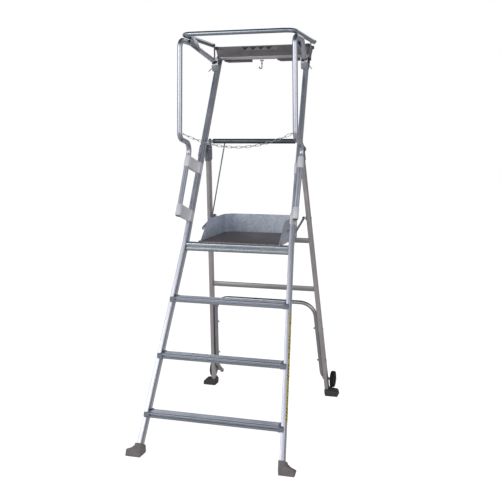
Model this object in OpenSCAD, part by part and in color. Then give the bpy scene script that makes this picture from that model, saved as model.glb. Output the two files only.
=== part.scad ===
// Folding platform step ladder: three treads and a guarded working platform.
// Millimetres, +Z up, +X to the climber's right, +Y from the front feet to the rear feet.

/* [Overall] */
// height of the working platform above the floor
platform_h = 950; // [850:10:1150]
// height of the first tread above the floor
first_rise = 195; // [160:5:240]
// lean of the climbing frame from the vertical, in degrees
lean_deg = 25.8; // [18:0.1:30]
// slope of the rear legs from the vertical, in degrees
rear_deg = 13.7; // [8:0.1:18]
// half the distance between the front stiles at the floor
foot_half = 345; // [280:5:400]
// half the distance between the front stiles at the platform
kink_half = 271; // [240:1:300]
// half the distance between the front stiles at the top
top_half = 240; // [220:1:271]

/* [Frame sections] */
// width of a front stile
stile_w = 20; // [16:1:26]
// depth of a front stile
stile_d = 45; // [36:1:60]
// wall of the box sections
wall = 2; // [1.5:0.1:3]
// width of a rear leg
leg_w = 20; // [16:1:26]
// depth of a rear leg
leg_d = 40; // [30:1:50]
// depth of a tread from front to back
tread_d = 58; // [45:1:80]
// thickness of a tread
tread_t = 24; // [20:1:32]
// height of the front beam of the platform
beam_h = 42; // [30:1:55]
// depth of the front beam
beam_d = 40; // [30:1:50]
// height of the rear crossbars
bar_h = 25; // [18:1:32]
// depth of the rear crossbars
bar_d = 20; // [14:1:24]

/* [Platform] */
// half the width of the deck
deck_half = 202; // [180:1:215]
// front-to-back length of the deck
deck_len = 433; // [360:1:460]
// height of the toe boards above the deck
toe_h = 100; // [70:1:120]
// thickness of the deck frame
deck_t = 16; // [13:1:22]

/* [Guard] */
// diameter of the guard tubes
guard_dia = 25; // [20:1:30]
// distance from the stile centre plane to the lower guard tube, along +Y
guard_off = 101.5; // [80:0.5:125]
// half the distance between the guard posts
guard_half = 283; // [278:1:300]
// diameter of the gate bar
gate_dia = 22; // [18:1:26]
// diameter of the knee rail
rail_dia = 25; // [18:1:30]

/* [Wheels] */
// diameter of the rear wheels
wheel_dia = 94; // [70:1:104]
// width of the rear wheels
wheel_w = 27; // [20:1:30]
// diameter of the wheel arch tube
arch_dia = 22; // [18:1:26]

/* [Hidden] */
$fn = 48;
tanL = tan(lean_deg);
tanR = tan(rear_deg);
stile_y0 = 9;
top_h = platform_h + 938;
hinge_z = platform_h + 458;
knee_z = platform_h + 498;
tread_rise = (platform_h - first_rise) / 3;
pivot_dia = 10;
run_fit = 0.05;

function stile_x(z) = z < platform_h
    ? foot_half - (foot_half - kink_half) * z / platform_h
    : kink_half - (kink_half - top_half) * (z - platform_h) / (top_h - platform_h);
function stile_y(z) = stile_y0 + z * tanL;
stile_half_h = stile_d / 2 / cos(lean_deg);

hinge_y = stile_y(hinge_z) + 70.6;
leg_top_x = stile_x(hinge_z) - 5;
function leg_x(z) = foot_half - (foot_half - leg_top_x) * z / hinge_z;
function leg_y(z) = hinge_y + (hinge_z - z) * tanR;
leg_half_h = leg_d / 2 / cos(rear_deg);

wheel_z = 82;
wheel_y = leg_y(wheel_z) + leg_half_h + wheel_dia / 2 + 2.5;
wheel_x = leg_x(wheel_z) + leg_w / 2 + 1.5 + wheel_w / 2;
foot_front = 14;
y_mid = (wheel_y + wheel_dia / 2 + stile_y0 - foot_front) / 2;

bsL = atan((foot_half - kink_half) / platform_h);
bsU = atan((kink_half - top_half) / (top_h - platform_h));
bsR = atan((foot_half - leg_top_x) / hinge_z);

beam_front = stile_y(platform_h) - 25;
deck_y0 = beam_front + beam_d + 5;
deck_y1 = deck_y0 + deck_len;
pivot_y = deck_y0 + 14;
deck_z = platform_h + 3;
frame_z = deck_z - deck_t;
pivot_z = frame_z + (deck_t - 3) / 2;
strut_z = platform_h + 96.5;
strut_q_y = pivot_y + 158;
strut_q_z = platform_h + 48;
strut_x = leg_x(strut_z) - leg_w / 2 - 18;

low_bar_z = platform_h - 301;
up_bar_z = frame_z - bar_h / 2 - 1.5;
arch_z = 565;
arch_r = 85;

post_y = 450;
gate_x = guard_half - 7;
guard_top_z = platform_h + 982;
gate_z = guard_top_z + guard_dia / 2 + gate_dia / 2 + 1.5;
gate_pivot_y = stile_y(top_h) - 17;
gate_front_y = 459;
catch_z = platform_h + 916;
catch_y = stile_y(catch_z) - stile_half_h - 19;

// ---------------------------------------------------------------- helpers
module ctr() { translate([0, -y_mid, 0]) children(); }
module left() { mirror([1, 0, 0]) children(); }

// straight round bar between two points
module rod(a, b, d) {
    v = b - a;
    l = norm(v);
    translate(a) rotate([0, acos(v[2] / l), atan2(v[1], v[0])]) cylinder(d = d, h = l);
}

// ring-shaped section of a tube
module ring(d, t) { difference() { circle(d = d); if (d > 2 * t + 0.1) circle(d = d - 2 * t); } }

// straight run of tube along the local +Z, then whatever follows; it enters the bends at its ends by a and b
module run(l, d, t, a = 1, b = 1) {
    translate([0, 0, -a]) linear_extrude(height = l + a + b) ring(d, t);
    translate([0, 0, l]) children();
}

// bend of tube toward the local +Y, turned by az about the heading; a bend is a hair thicker than the run
module turn(az, r, a, d, t) {
    rotate([0, 0, az]) {
        translate([0, r, 0]) rotate([90, 0, -90]) rotate_extrude(angle = a)
            translate([r, 0]) rotate(az) ring(d + 0.3, t + 0.3);
        translate([0, r - r * cos(a), r * sin(a)]) rotate([-a, 0, 0]) rotate([0, 0, -az]) children();
    }
}

// frame of a right front stile at height z: local Z along the stile
module on_stile(z) {
    b = z < platform_h ? bsL : bsU;
    translate([stile_x(z), stile_y(z), z]) rotate([-atan(tanL * cos(b)), -b, 0]) children();
}

// frame of a right rear leg at height z
module on_leg(z) {
    translate([leg_x(z), leg_y(z), z]) rotate([atan(tanR * cos(bsR)), -bsR, 0]) children();
}

// solid envelope of the right stile
module stile_solid(g = 0) {
    lo = platform_h / cos(lean_deg) / cos(bsL);
    up = (top_h - platform_h) / cos(lean_deg) / cos(bsU);
    on_stile(0) translate([-stile_w / 2 + g, -stile_d / 2 + g, 20]) cube([stile_w - 2 * g, stile_d - 2 * g, lo - 20 + (g > 0 ? 2 : 0)]);
    on_stile(platform_h) translate([-stile_w / 2 + g, -stile_d / 2 + g, -1]) cube([stile_w - 2 * g, stile_d - 2 * g, up + 1 + (g > 0 ? 1 : 0)]);
}

// solid envelope of the right rear leg
module leg_solid(g = 0) {
    l = (hinge_z + 12) / cos(rear_deg) / cos(bsR);
    on_leg(0) translate([-leg_w / 2 + g, -leg_d / 2 + g, 10 - (g > 0 ? 1 : 0)]) cube([leg_w - 2 * g, leg_d - 2 * g, l - 10 + (g > 0 ? 2 : 0)]);
}

// ---------------------------------------------------------------- front frame
module stile() {
    difference() {
        stile_solid();
        stile_solid(wall);
    }
}
module left_stile() color([0.80, 0.81, 0.84]) ctr() left() stile();
module right_stile() color([0.80, 0.81, 0.84]) ctr() stile();

function tread_y(z) = stile_y(z) - 38;
cap_t = 10;

module tread_bar(z, g = 0) {
    h = stile_x(z) - stile_w / 2 - cap_t;
    translate([-h, tread_y(z), z]) rotate([90, 0, 90]) linear_extrude(height = 2 * h)
        difference() {
            polygon([[1.5, -tread_t], [tread_d - 1.5, -tread_t], [tread_d, -tread_t + 1.5],
                [tread_d, -1.5], [tread_d - 1.5, 0], [tread_d - 7, 0], [tread_d - 7, -1.2],
                [tread_d - 16, -1.2], [tread_d - 16, 0], [tread_d - 23, 0], [tread_d - 23, -1.2],
                [tread_d - 32, -1.2], [tread_d - 32, 0], [tread_d - 39, 0], [tread_d - 39, -1.2],
                [9, -1.2], [9, 0], [1.5, 0], [0, -1.5], [0, -9], [1.2, -10], [1.2, -13],
                [0, -14], [0, -tread_t + 1.5]]);
            translate([3.5, -tread_t + 2]) square([tread_d - 6, tread_t - 5.5]);
        }
}
module lower_tread() color([0.68, 0.71, 0.76]) ctr() tread_bar(first_rise);
module middle_tread() color([0.68, 0.71, 0.76]) ctr() tread_bar(first_rise + tread_rise);
module upper_tread() color([0.68, 0.71, 0.76]) ctr() tread_bar(first_rise + 2 * tread_rise);

module tread_cap(z) {
    h = stile_x(z) - stile_w / 2;
    difference() {
        union() {
            translate([h - cap_t, tread_y(z) - 2, z - tread_t - 1]) cube([cap_t + 2, tread_d + 4, tread_t + 2.5]);
            translate([h - cap_t, tread_y(z) - 2, z - tread_t + 1]) cube([cap_t + 15, 26, tread_t - 2]);
        }
        stile_solid();
    }
}
module tread_end_caps() color([0.16, 0.18, 0.21]) ctr()
    for (i = [0:2]) for (s = [0, 1]) mirror([s, 0, 0]) tread_cap(first_rise + i * tread_rise);

module front_beam() color([0.74, 0.77, 0.80]) ctr() difference() {
    translate([-kink_half - 6, beam_front, platform_h - beam_h]) rotate([90, 0, 90]) linear_extrude(height = 2 * kink_half + 12)
        difference() {
            polygon([[3, 0], [beam_d - 1, 0], [beam_d, 1], [beam_d, beam_h - 1], [beam_d - 1, beam_h],
                [4, beam_h], [1, beam_h - 2], [0, beam_h - 6], [0, beam_h - 14], [1.5, beam_h - 17],
                [6, beam_h - 17.5], [6, beam_h - 23.5], [1.5, beam_h - 24], [0, beam_h - 27], [0, 6], [1, 2]]);
            translate([8.5, 2.5]) square([beam_d - 11, beam_h - 5]);
        }
    stile_solid();
    left() stile_solid();
}

module front_foot() {
    intersection() {
        // drawn out square to the stile, so that collar and toe fall away to the rear
        translate([stile_x(0), stile_y0, 0]) rotate([90 - lean_deg, 0, 0]) translate([0, 0, -80]) linear_extrude(height = 120)
            polygon([[-13, -60], [54, -60], [57, 0], [52, 26], [45, 30], [27, 37], [14, 48], [11, 59.4], [-18, 59.4], [-16, 28]]);
        translate([stile_x(0) - 40, stile_y0, 0]) rotate([90, 0, 90]) linear_extrude(height = 130)
            polygon([[-foot_front, 2], [-foot_front + 3, 0], [54, 0], [58, 4], [52, 38], [0, 66], [-foot_front, 34]]);
    }
}
module front_foot_cut() { difference() { front_foot(); stile_solid(); } }
module left_front_foot() color([0.40, 0.38, 0.37]) ctr() left() front_foot_cut();
module right_front_foot() color([0.40, 0.38, 0.37]) ctr() front_foot_cut();

tray_y0 = stile_y(top_h) - stile_half_h - 2;
tray_dep = 122;
tray_z0 = top_h + 4;
tray_h = 54;
tray_tw = top_half + 15;
tray_bw = top_half + 2;
module tray_outer(g = 0) {
    translate([0, tray_y0 + tray_dep - g, tray_z0]) rotate([90, 0, 0]) linear_extrude(height = tray_dep - 2 * g)
        polygon([[-tray_bw + g, g], [tray_bw - g, g], [tray_tw - g, tray_h + g / 10], [-tray_tw + g, tray_h + g / 10]]);
}
module tool_tray() color([0.36, 0.35, 0.36]) ctr() {
    difference() {
        union() {
            tray_outer();
            for (s = [-1, 1]) translate([s * 147 - 68, tray_y0 + 30, tray_z0 - 20]) cube([136, 80, 21]);
            translate([-86, tray_y0 - 2, tray_z0 + tray_h - 26]) cube([172, 3, 16]);
        }
        tray_outer(3);
        for (s = [-1, 1]) translate([s * 147 - 65, tray_y0 + 33, tray_z0 - 17]) cube([130, 74, 30]);
        stile_solid();
        left() stile_solid();
    }
    translate([-2, tray_y0 + 2, tray_z0 + 2]) cube([4, tray_dep - 4, tray_h - 6]);
}
module tray_rail() color([0.66, 0.66, 0.68]) ctr() difference() {
    union() {
        translate([-top_half - 6, tray_y0 + 3, tray_z0 - 15]) cube([2 * top_half + 12, 22, 15]);
        // ears that carry the hook
        for (x = [-8, 5.5]) translate([x, hook_y - 5, hook_z - 5]) cube([2.5, 10, 8]);
    }
    translate([-top_half - 8, tray_y0 + 6, tray_z0 - 12]) cube([2 * top_half + 16, 23, 9]);
    pin_x(-20, hook_y, hook_z, 5 + 2 * run_fit, 40);
    stile_solid();
    left() stile_solid();
}
module tray_corner_caps() color([0.08, 0.08, 0.09]) ctr() for (s = [0, 1]) mirror([s, 0, 0]) difference() {
    union() {
        translate([tray_tw - 16, tray_y0 - 2.5, tray_z0 + tray_h - 14]) cube([18.5, 20, 15.5]);
        translate([tray_tw - 16, tray_y0 + tray_dep - 17.5, tray_z0 + tray_h - 14]) cube([18.5, 20, 15.5]);
    }
    tray_outer();
    translate([-tray_tw + 3, tray_y0 + 3, tray_z0 + 10]) cube([2 * tray_tw - 6, tray_dep - 6, tray_h]);
}
hook_y = tray_y0 + 14;
hook_z = tray_z0 - 21;
module tray_hook() color([0.3, 0.3, 0.32]) ctr() {
    pin_x(-9, hook_y, hook_z, 5, 18);
    rod([0, hook_y, hook_z], [0, hook_y, hook_z - 36], 6);
    translate([0, hook_y, hook_z - 17]) sphere(d = 9.6);
    translate([-7, hook_y, hook_z - 36]) rotate([-90, 0, 0]) rotate_extrude(angle = 180) translate([7, 0]) circle(d = 6);
    translate([0, hook_y, hook_z - 36]) sphere(d = 6.2);
    translate([-14, hook_y, hook_z - 36]) sphere(d = 7.6);
}

// hinge plates and pins
module hinge_plate() {
    px = stile_x(hinge_z) + stile_w / 2;
    difference() {
        union() {
            on_stile(hinge_z) translate([stile_w / 2, -stile_d / 2 + 3, -50]) cube([3, stile_d + 12, 62]);
            translate([px + 0.2, hinge_y - 62, hinge_z - 14]) cube([3, 62, 26]);
            translate([px + 0.2, hinge_y, hinge_z - 1]) rotate([0, 90, 0]) cylinder(d = 30, h = 3);
            on_stile(hinge_z - 34) translate([stile_w / 2, 0, 0]) rotate([0, 90, 0]) cylinder(d = 10, h = 5);
            on_stile(hinge_z - 8) translate([stile_w / 2, 0, 0]) rotate([0, 90, 0]) cylinder(d = 10, h = 5);
        }
        stile_solid();
        translate([px - 5, hinge_y, hinge_z]) rotate([0, 90, 0]) cylinder(d = pivot_dia, h = 20);
    }
}
module left_hinge_plate() color([0.30, 0.31, 0.34]) ctr() left() hinge_plate();
module right_hinge_plate() color([0.30, 0.31, 0.34]) ctr() hinge_plate();
module hinge_pins() color([0.62, 0.63, 0.65]) ctr() for (s = [0, 1]) mirror([s, 0, 0]) {
    px = stile_x(hinge_z) + stile_w / 2;
    translate([px - 34, hinge_y, hinge_z]) rotate([0, 90, 0]) cylinder(d = pivot_dia, h = 38);
    translate([px + 3.5, hinge_y, hinge_z]) rotate([0, 90, 0]) cylinder(d = 17, h = 5);
}

// ---------------------------------------------------------------- guard
guard_tilt = 0.94;
guard_z0 = platform_h + 132;
jog_z = platform_h + 431;
leg_run = (jog_z - guard_z0) / cos(lean_deg);
jog_a = lean_deg + 80;
jog_r = 45;
post_r = 40;
// forward travel used by the two bends of the jog
jog_dy = jog_r * (cos(lean_deg) - sin(10)) + post_r * (1 - sin(10));
jog_dz = jog_r * (sin(lean_deg) + cos(10)) + post_r * cos(10);
jog_run = (stile_y(jog_z) - guard_off - post_y - jog_dy) / cos(10);
post_z0 = jog_z + jog_dz + jog_run * sin(10);
top_r = 40;
post_run = guard_top_z - top_r - post_z0;
top_run = 130;
diag_y0 = post_y + top_r + top_run;
diag_dy = catch_y - diag_y0;
diag_dz = guard_top_z - catch_z;
diag_dx = guard_half - stile_x(catch_z) - 2;
diag_az = atan2(diag_dx, diag_dz);
diag_a = atan2(norm([diag_dx, diag_dz]), diag_dy);
diag_len = norm([diag_dx, diag_dy, diag_dz]) + 8;

module guard_path(d, t) {
    translate([guard_half + 0.0164 * (guard_top_z - guard_z0), stile_y(guard_z0) - guard_off, guard_z0])
        rotate([0, -guard_tilt, 0]) rotate([-lean_deg, 0, 0])
        run(leg_run, d, t, 0) turn(180, jog_r, jog_a, d, t) run(jog_run, d, t)
        turn(0, post_r, 80, d, t) run(post_run, d, t) turn(0, top_r, 90, d, t) run(top_run - 30, d, t)
        turn(diag_az, 60, diag_a, d, t) run(diag_len - 38, d, t, 1, 0);
}
module pin_x(x, y, z, d, l) { translate([x, y, z]) rotate([0, 90, 0]) cylinder(d = d, h = l); }
lock_y = catch_y + 0;
lock_z = catch_z + 1;
module guard_tube() difference() {
    guard_path(guard_dia, 2);
    pin_x(stile_x(catch_z) - 30, lock_y, lock_z, 9, 60);
}
module left_guard_tube() color([0.82, 0.83, 0.86]) ctr() left() guard_tube();
module right_guard_tube() color([0.82, 0.83, 0.86]) ctr() guard_tube();

guard_leg_x = guard_half + 0.0164 * (guard_top_z - guard_z0) - 3;
module guard_leg_solid(d) {
    translate([guard_half + 0.0164 * (guard_top_z - guard_z0), stile_y(guard_z0) - guard_off, guard_z0])
        rotate([0, -guard_tilt, 0]) rotate([-lean_deg, 0, 0]) translate([0, 0, -8]) cylinder(d = d, h = leg_run + 16);
}
module clamp_at(z) {
    off = guard_off * cos(lean_deg);
    dx = guard_half + 0.0164 * (guard_top_z - z) - stile_x(z);
    zl = guard_off * sin(lean_deg);
    difference() {
        union() {
            on_stile(z) translate([-stile_w / 2 - 2.5, -stile_d / 2 - 2.5, -29]) cube([stile_w + 5, stile_d - 6, 58]);
            on_stile(z) linear_extrude(height = 58, center = true)
                polygon([[dx - 15, -off], [dx + 15, -off], [stile_w / 2 + 2.5, -stile_d / 2 - 2.5], [-stile_w / 2 + 6, -stile_d / 2 - 2.5]]);
            on_stile(z) translate([dx, -off, -29]) cylinder(d = guard_dia + 6, h = 58);
        }
        on_stile(z) linear_extrude(height = 70, center = true)
            polygon([[dx - 8, -off + 17], [dx + 8, -off + 17], [stile_w / 2 - 1, -stile_d / 2 - 6], [-stile_w / 2 + 10, -stile_d / 2 - 6]]);
        stile_solid();
        guard_leg_solid(guard_dia);
    }
}
clamp_hi = platform_h + 355;
clamp_lo = platform_h + 120;
module left_clamps() color([0.72, 0.71, 0.73]) ctr() left() { clamp_at(clamp_hi); clamp_at(clamp_lo); }
module right_clamps() color([0.72, 0.71, 0.73]) ctr() { clamp_at(clamp_hi); clamp_at(clamp_lo); }

bracket_x = guard_half - guard_dia / 2 - 9.5;
module gate_bracket() {
    y0 = post_y + 98;
    z0 = guard_top_z - 18;
    h = gate_z - z0;
    difference() {
        union() {
            translate([bracket_x, y0, z0]) rotate([90, 0, 90]) linear_extrude(height = 3)
                polygon([[0, 0], [10, -3], [118, -22], [118, 8], [92, h - 12], [40, h - 1], [8, h - 1], [0, h - 8]]);
            // saddle under the gate bar and collar around the guard tube
            translate([bracket_x, y0 + 8, gate_z - gate_dia / 2 - 3.6]) cube([25, 34, 3]);
            pin_x(bracket_x - 4, y0 + 24, z0 + 18, 12, 5);
            pin_x(bracket_x - 3, y0 + 24, z0 + 2, 7, 5);
            // spacer between the plate and the guard tube
            pin_x(bracket_x + 1, y0 + 24, guard_top_z, 16, 14);
        }
        guard_path(guard_dia, guard_dia);
    }
}
module left_gate_bracket() color([0.42, 0.42, 0.45]) ctr() left() gate_bracket();
module right_gate_bracket() color([0.42, 0.42, 0.45]) ctr() gate_bracket();

module catch_block() difference() {
    translate([stile_x(catch_z) - 17, catch_y - 24, catch_z - 50]) rotate([90, 0, 90]) linear_extrude(height = 36)
        polygon([[12, 0], [44, 0], [70, 62], [60, 72], [6, 72], [0, 60], [0, 30]]);
    // channel for the tube end
    translate([stile_x(catch_z) - 13.2, catch_y - 40, catch_z - 14]) cube([28.4, 52.6, 60]);
    stile_solid();
    pin_x(stile_x(catch_z) - 30, lock_y, lock_z, 8 + 2 * run_fit, 60);
    pin_x(stile_x(catch_z) - 30, gate_pivot_y, top_h - 18, 14, 80);
    translate([0, tray_y0 + 2.9, tray_z0 - 15.1]) cube([top_half + 30, 40, 30]);
}
module left_catch() color([0.55, 0.60, 0.64]) ctr() left() catch_block();
module right_catch() color([0.55, 0.60, 0.64]) ctr() catch_block();

module lock_pin() {
    x0 = stile_x(catch_z) - 17;
    pin_x(x0 + 1, lock_y, lock_z, 8, 37);
    pin_x(x0 + 37.5, lock_y, lock_z, 16, 7);
    translate([x0 + 37.5, lock_y - 5, lock_z - 20]) cube([5, 10, 16]);
    rod([x0 + 40, lock_y, lock_z - 19], [x0 + 40, lock_y, lock_z - 34], 4);
    translate([x0 + 40, lock_y, lock_z - 34]) sphere(d = 4.4);
    rod([x0 + 40, lock_y, lock_z - 34], [x0 + 56, lock_y - 12, lock_z - 52], 4);
}
module left_lock_pin() color([0.12, 0.12, 0.13]) ctr() left() lock_pin();
module right_lock_pin() color([0.12, 0.12, 0.13]) ctr() lock_pin();

strap_x = gate_x - gate_dia / 2 - 3.5;
module gate_strap() difference() {
    union() {
        translate([strap_x, gate_pivot_y, 0]) rotate([90, 0, 90]) linear_extrude(height = 3)
            polygon([[-8, gate_z], [8, gate_z], [8, top_h - 26], [-8, top_h - 26]]);
        pin_x(strap_x, gate_pivot_y, gate_z, 16, 3);
        translate([stile_x(top_h - 18), gate_pivot_y, top_h - 18]) rotate([0, 90, 0]) cylinder(d = 14, h = strap_x - stile_x(top_h - 18));
    }
    stile_solid();
    pin_x(strap_x - 5, gate_pivot_y, gate_z, 8, 12);
}
module left_gate_strap() color([0.28, 0.30, 0.32]) ctr() left() gate_strap();
module right_gate_strap() color([0.28, 0.30, 0.32]) ctr() gate_strap();
module gate_pins() color([0.66, 0.67, 0.69]) ctr() for (s = [0, 1]) mirror([s, 0, 0]) {
    pin_x(strap_x - 3, gate_pivot_y, gate_z, 8, gate_x + gate_dia / 2 + 2 - strap_x + 3);
    pin_x(gate_x + gate_dia / 2 + 0.5, gate_pivot_y, gate_z, 13, 4);
}

// chain across the front of the guard
chain_z = platform_h + 531;
chain_sag = 61;
chain_half = guard_half + 0.0164 * (guard_top_z - chain_z) - guard_dia / 2 - 11;
chain_n = 22;
function chain_pt(i) = let (u = -1 + 2 * i / chain_n) [u * chain_half, post_y, chain_z - chain_sag * (1 - u * u)];
module link(a, b, k) {
    v = b - a;
    l = norm(v);
    translate((a + b) / 2) rotate([0, -atan2(v[2], v[0]), 0]) rotate([k % 2 == 0 ? 0 : 90, 0, 0]) {
        for (s = [-1, 1]) translate([-l / 2 + 2.8, s * 4.6, 0]) rotate([0, 90, 0]) cylinder(d = 2.64, h = l - 5.6);
        translate([l / 2 - 3, 0, 0]) rotate([0, 0, -90]) rotate_extrude(angle = 180) translate([4.6, 0]) circle(d = 2.6);
        translate([-l / 2 + 3, 0, 0]) rotate([0, 0, 90]) rotate_extrude(angle = 180) translate([4.6, 0]) circle(d = 2.6);
    }
}
module chain() color([0.66, 0.67, 0.69]) ctr() for (i = [0:chain_n - 1]) {
    link(chain_pt(i), chain_pt(i + 1), i);
}
module chain_eyes() color([0.50, 0.51, 0.53]) ctr() for (s = [0, 1]) mirror([s, 0, 0]) {
    difference() {
        union() {
            rod([chain_half + 14, post_y, chain_z + 4], [chain_half + 3, post_y, chain_z + 2], 5);
            translate([chain_half + 9, post_y, chain_z]) cylinder(d = guard_dia / 2, h = 7);
        }
        translate([chain_half + 11 + guard_dia / 2, post_y, chain_z - 20]) cylinder(d = guard_dia + 0.4, h = 60);
        guard_path(guard_dia, guard_dia);
    }
}

module hazard_strip() color([0.78, 0.70, 0.10]) ctr()
    on_stile(first_rise + 6) translate([stile_w / 2, -17, 0]) cube([0.8, 34, (2 * tread_rise - 50) / cos(lean_deg)]);

module platform_lugs() color([0.60, 0.62, 0.65]) ctr() for (s = [0, 1]) mirror([s, 0, 0]) difference() {
    union() {
        translate([deck_half + 5, beam_front + beam_d, pivot_z - 11]) cube([5, pivot_y - beam_front - beam_d, 22]);
        pin_x(deck_half + 5, pivot_y, pivot_z, 22, 5);
    }
    pin_x(deck_half - 2, pivot_y, pivot_z, 8 + 2 * run_fit, 20);
}

// ---------------------------------------------------------------- rear frame
module rear_leg() difference() {
    leg_solid();
    leg_solid(wall);
    pin_x(leg_top_x - 30, hinge_y, hinge_z, pivot_dia + 3, 60);
    pin_x(leg_x(strut_z) - 60, leg_y(strut_z), strut_z, 8, 120);
    for (z = [220, 415]) pin_x(leg_x(z) - 60, leg_y(z), z, 6, 120);
}
module left_rear_leg() color([0.66, 0.62, 0.60]) ctr() left() rear_leg();
module right_rear_leg() color([0.66, 0.62, 0.60]) ctr() rear_leg();

module crossbar(z) difference() {
    translate([-leg_x(z) - 2, leg_y(z) - bar_d / 2, z - bar_h / 2]) difference() {
        cube([2 * leg_x(z) + 4, bar_d, bar_h]);
        translate([-2, wall, wall]) cube([2 * leg_x(z) + 8, bar_d - 2 * wall, bar_h - 2 * wall]);
    }
    leg_solid();
    left() leg_solid();
}
module lower_crossbar() color([0.62, 0.60, 0.60]) ctr() crossbar(low_bar_z);
module upper_crossbar() color([0.62, 0.60, 0.60]) ctr() crossbar(up_bar_z);

// bent tube that joins the legs and carries the wheels
arch_in = leg_w / 2 + arch_dia / 2 + 0.4;
tail_r = 55;
tail_a = 42;
tail_b = rear_deg + tail_a;
tail_dy = tail_r * (cos(rear_deg) - cos(tail_b));
tail_dz = tail_r * (sin(tail_b) - sin(rear_deg));
// height where the tube leaves the leg so that its tail crosses the axle
arch_low = (wheel_y - leg_y(0) - tail_dy + tan(tail_b) * (tail_dz + wheel_z)) / (tan(tail_b) - tanR);
tail_len = (arch_low - tail_dz - wheel_z) / cos(tail_b);
module arch_half(whole = false) {
    // from the crown of the arch to the wheel, with the straight crown itself where whole
    b = atan(tan(bsR) * cos(rear_deg));
    bend = 90 - b;
    crown = leg_x(arch_z) - arch_in - arch_r * (1 - sin(b)) / cos(b);
    dist = (arch_z - arch_low) / cos(rear_deg) / cos(b) - arch_r * (1 - sin(b)) / cos(b);
    translate([0, leg_y(arch_z), arch_z]) rotate([rear_deg, 0, 0]) rotate([0, 90, 0]) translate([0, 0, crown]) {
        turn(-90, arch_r, bend, arch_dia, 2) run(dist, arch_dia, 2)
        turn(0, tail_r, tail_a, arch_dia, 2) run(tail_len + 30, arch_dia, 2, 1, 0);
        if (whole) translate([0, 0, -2 * crown]) run(2 * crown, arch_dia, 2);
    }
}
module wheel_arch() color([0.66, 0.67, 0.70]) ctr() difference() {
    union() { arch_half(true); left() arch_half(); }
    for (s = [0, 1]) mirror([s, 0, 0]) {
        pin_x(leg_x(wheel_z) - 60, wheel_y, wheel_z, 10, 100);
        for (z = [220, 415]) pin_x(leg_x(z) - 60, leg_y(z), z, 6, 100);
    }
}
module arch_bolts() color([0.70, 0.71, 0.73]) ctr() for (s = [0, 1]) mirror([s, 0, 0]) for (z = [220, 415]) {
    x1 = leg_x(z) + leg_w / 2;
    difference() {
        union() {
            pin_x(x1 - leg_w - arch_dia - 9, leg_y(z), z, 6, leg_w + arch_dia + 13);
            pin_x(x1 + 0.2, leg_y(z), z, 13, 4);
            pin_x(x1 - leg_w - arch_dia - 6.4, leg_y(z), z, 11, 5.2);
        }
        leg_shell_cut(z);
    }
}
module leg_shell_cut(z) { difference() { leg_solid(); leg_solid(wall); pin_x(leg_x(z) - 60, leg_y(z), z, 6, 100); } }

module rear_foot() difference() {
    intersection() {
        translate([leg_x(0), leg_y(0) + 42, 0]) rotate([90, 0, 0]) linear_extrude(height = 82)
            polygon([[-12, 0], [56, 0], [60, 4], [55, 28], [48, 34], [26, 38], [13, 50], [-15, 50], [-14, 20]]);
        translate([leg_x(0) - 40, leg_y(0), 0]) rotate([90, 0, 90]) linear_extrude(height = 130)
            polygon([[-24, 3], [-21, 0], [38, 0], [42, 4], [38, 30], [16, 50], [-37, 40], [-34, 24]]);
    }
    leg_solid();
    wheel_space();
}
module wheel_space() { pin_x(leg_x(wheel_z) + leg_w / 2 - 1, wheel_y, wheel_z, wheel_dia + 5, 60); }
module left_rear_foot() color([0.24, 0.23, 0.23]) ctr() left() rear_foot();
module right_rear_foot() color([0.24, 0.23, 0.23]) ctr() rear_foot();

module leg_bracket() difference() {
    union() {
        on_leg(hinge_z) translate([-leg_w / 2 - 2.5, -leg_d / 2 - 2.5, -62]) cube([leg_w + 5, leg_d + 5, 62]);
        on_leg(hinge_z) rotate([0, 90, 0]) translate([0, 0, -leg_w / 2 - 2.5]) cylinder(d = leg_d + 5, h = leg_w + 5);
        // lug that carries the knee rail
        on_leg(hinge_z) translate([-leg_w / 2 - 2.5, -14, 0]) cube([7, 28, knee_z - hinge_z]);
        on_leg(knee_z) rotate([0, 90, 0]) translate([0, 0, -leg_w / 2 - 2.5]) cylinder(d = 28, h = 7);
    }
    leg_solid();
    pin_x(leg_top_x - 30, hinge_y, hinge_z, pivot_dia + 2 * run_fit, 60);
    pin_x(leg_x(knee_z) - 30, leg_y(knee_z), knee_z, 16, 60);
}
module left_leg_bracket() color([0.14, 0.15, 0.17]) ctr() left() leg_bracket();
module right_leg_bracket() color([0.14, 0.15, 0.17]) ctr() leg_bracket();

rail_half = leg_x(knee_z) - 28;
module knee_rail() color([0.13, 0.14, 0.16]) ctr() pin_x(-rail_half, leg_y(knee_z), knee_z, rail_dia, 2 * rail_half);
module rail_spigots() color([0.72, 0.73, 0.75]) ctr() for (s = [0, 1]) mirror([s, 0, 0])
    pin_x(rail_half, leg_y(knee_z), knee_z, 16, leg_x(knee_z) - 2 - rail_half);

module stay_rods() color([0.34, 0.38, 0.42]) ctr() for (s = [0, 1]) mirror([s, 0, 0]) difference() {
    union() {
        if (s == 1) rod([155, leg_y(knee_z), knee_z], [leg_x(strut_z) - leg_w / 2 - 3.6, leg_y(strut_z), strut_z + 4], 7);
        pin_x(leg_x(strut_z) - leg_w / 2 - 6.6, leg_y(strut_z), strut_z, 20, 6);
    }
    pin_x(0, leg_y(knee_z), knee_z, rail_dia, 200);
    pin_x(strut_x - 10, leg_y(strut_z), strut_z, 8, 60);
    leg_solid();
}
module strut_bolts() color([0.70, 0.71, 0.73]) ctr() for (s = [0, 1]) mirror([s, 0, 0]) {
    x1 = leg_x(strut_z) + leg_w / 2;
    pin_x(strut_x - 7, leg_y(strut_z), strut_z, 8, x1 - strut_x + 8);
    pin_x(x1 + 0.3, leg_y(strut_z), strut_z, 15, 4);
    pin_x(strut_x - 7, leg_y(strut_z), strut_z, 14, 4.5);
}
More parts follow.
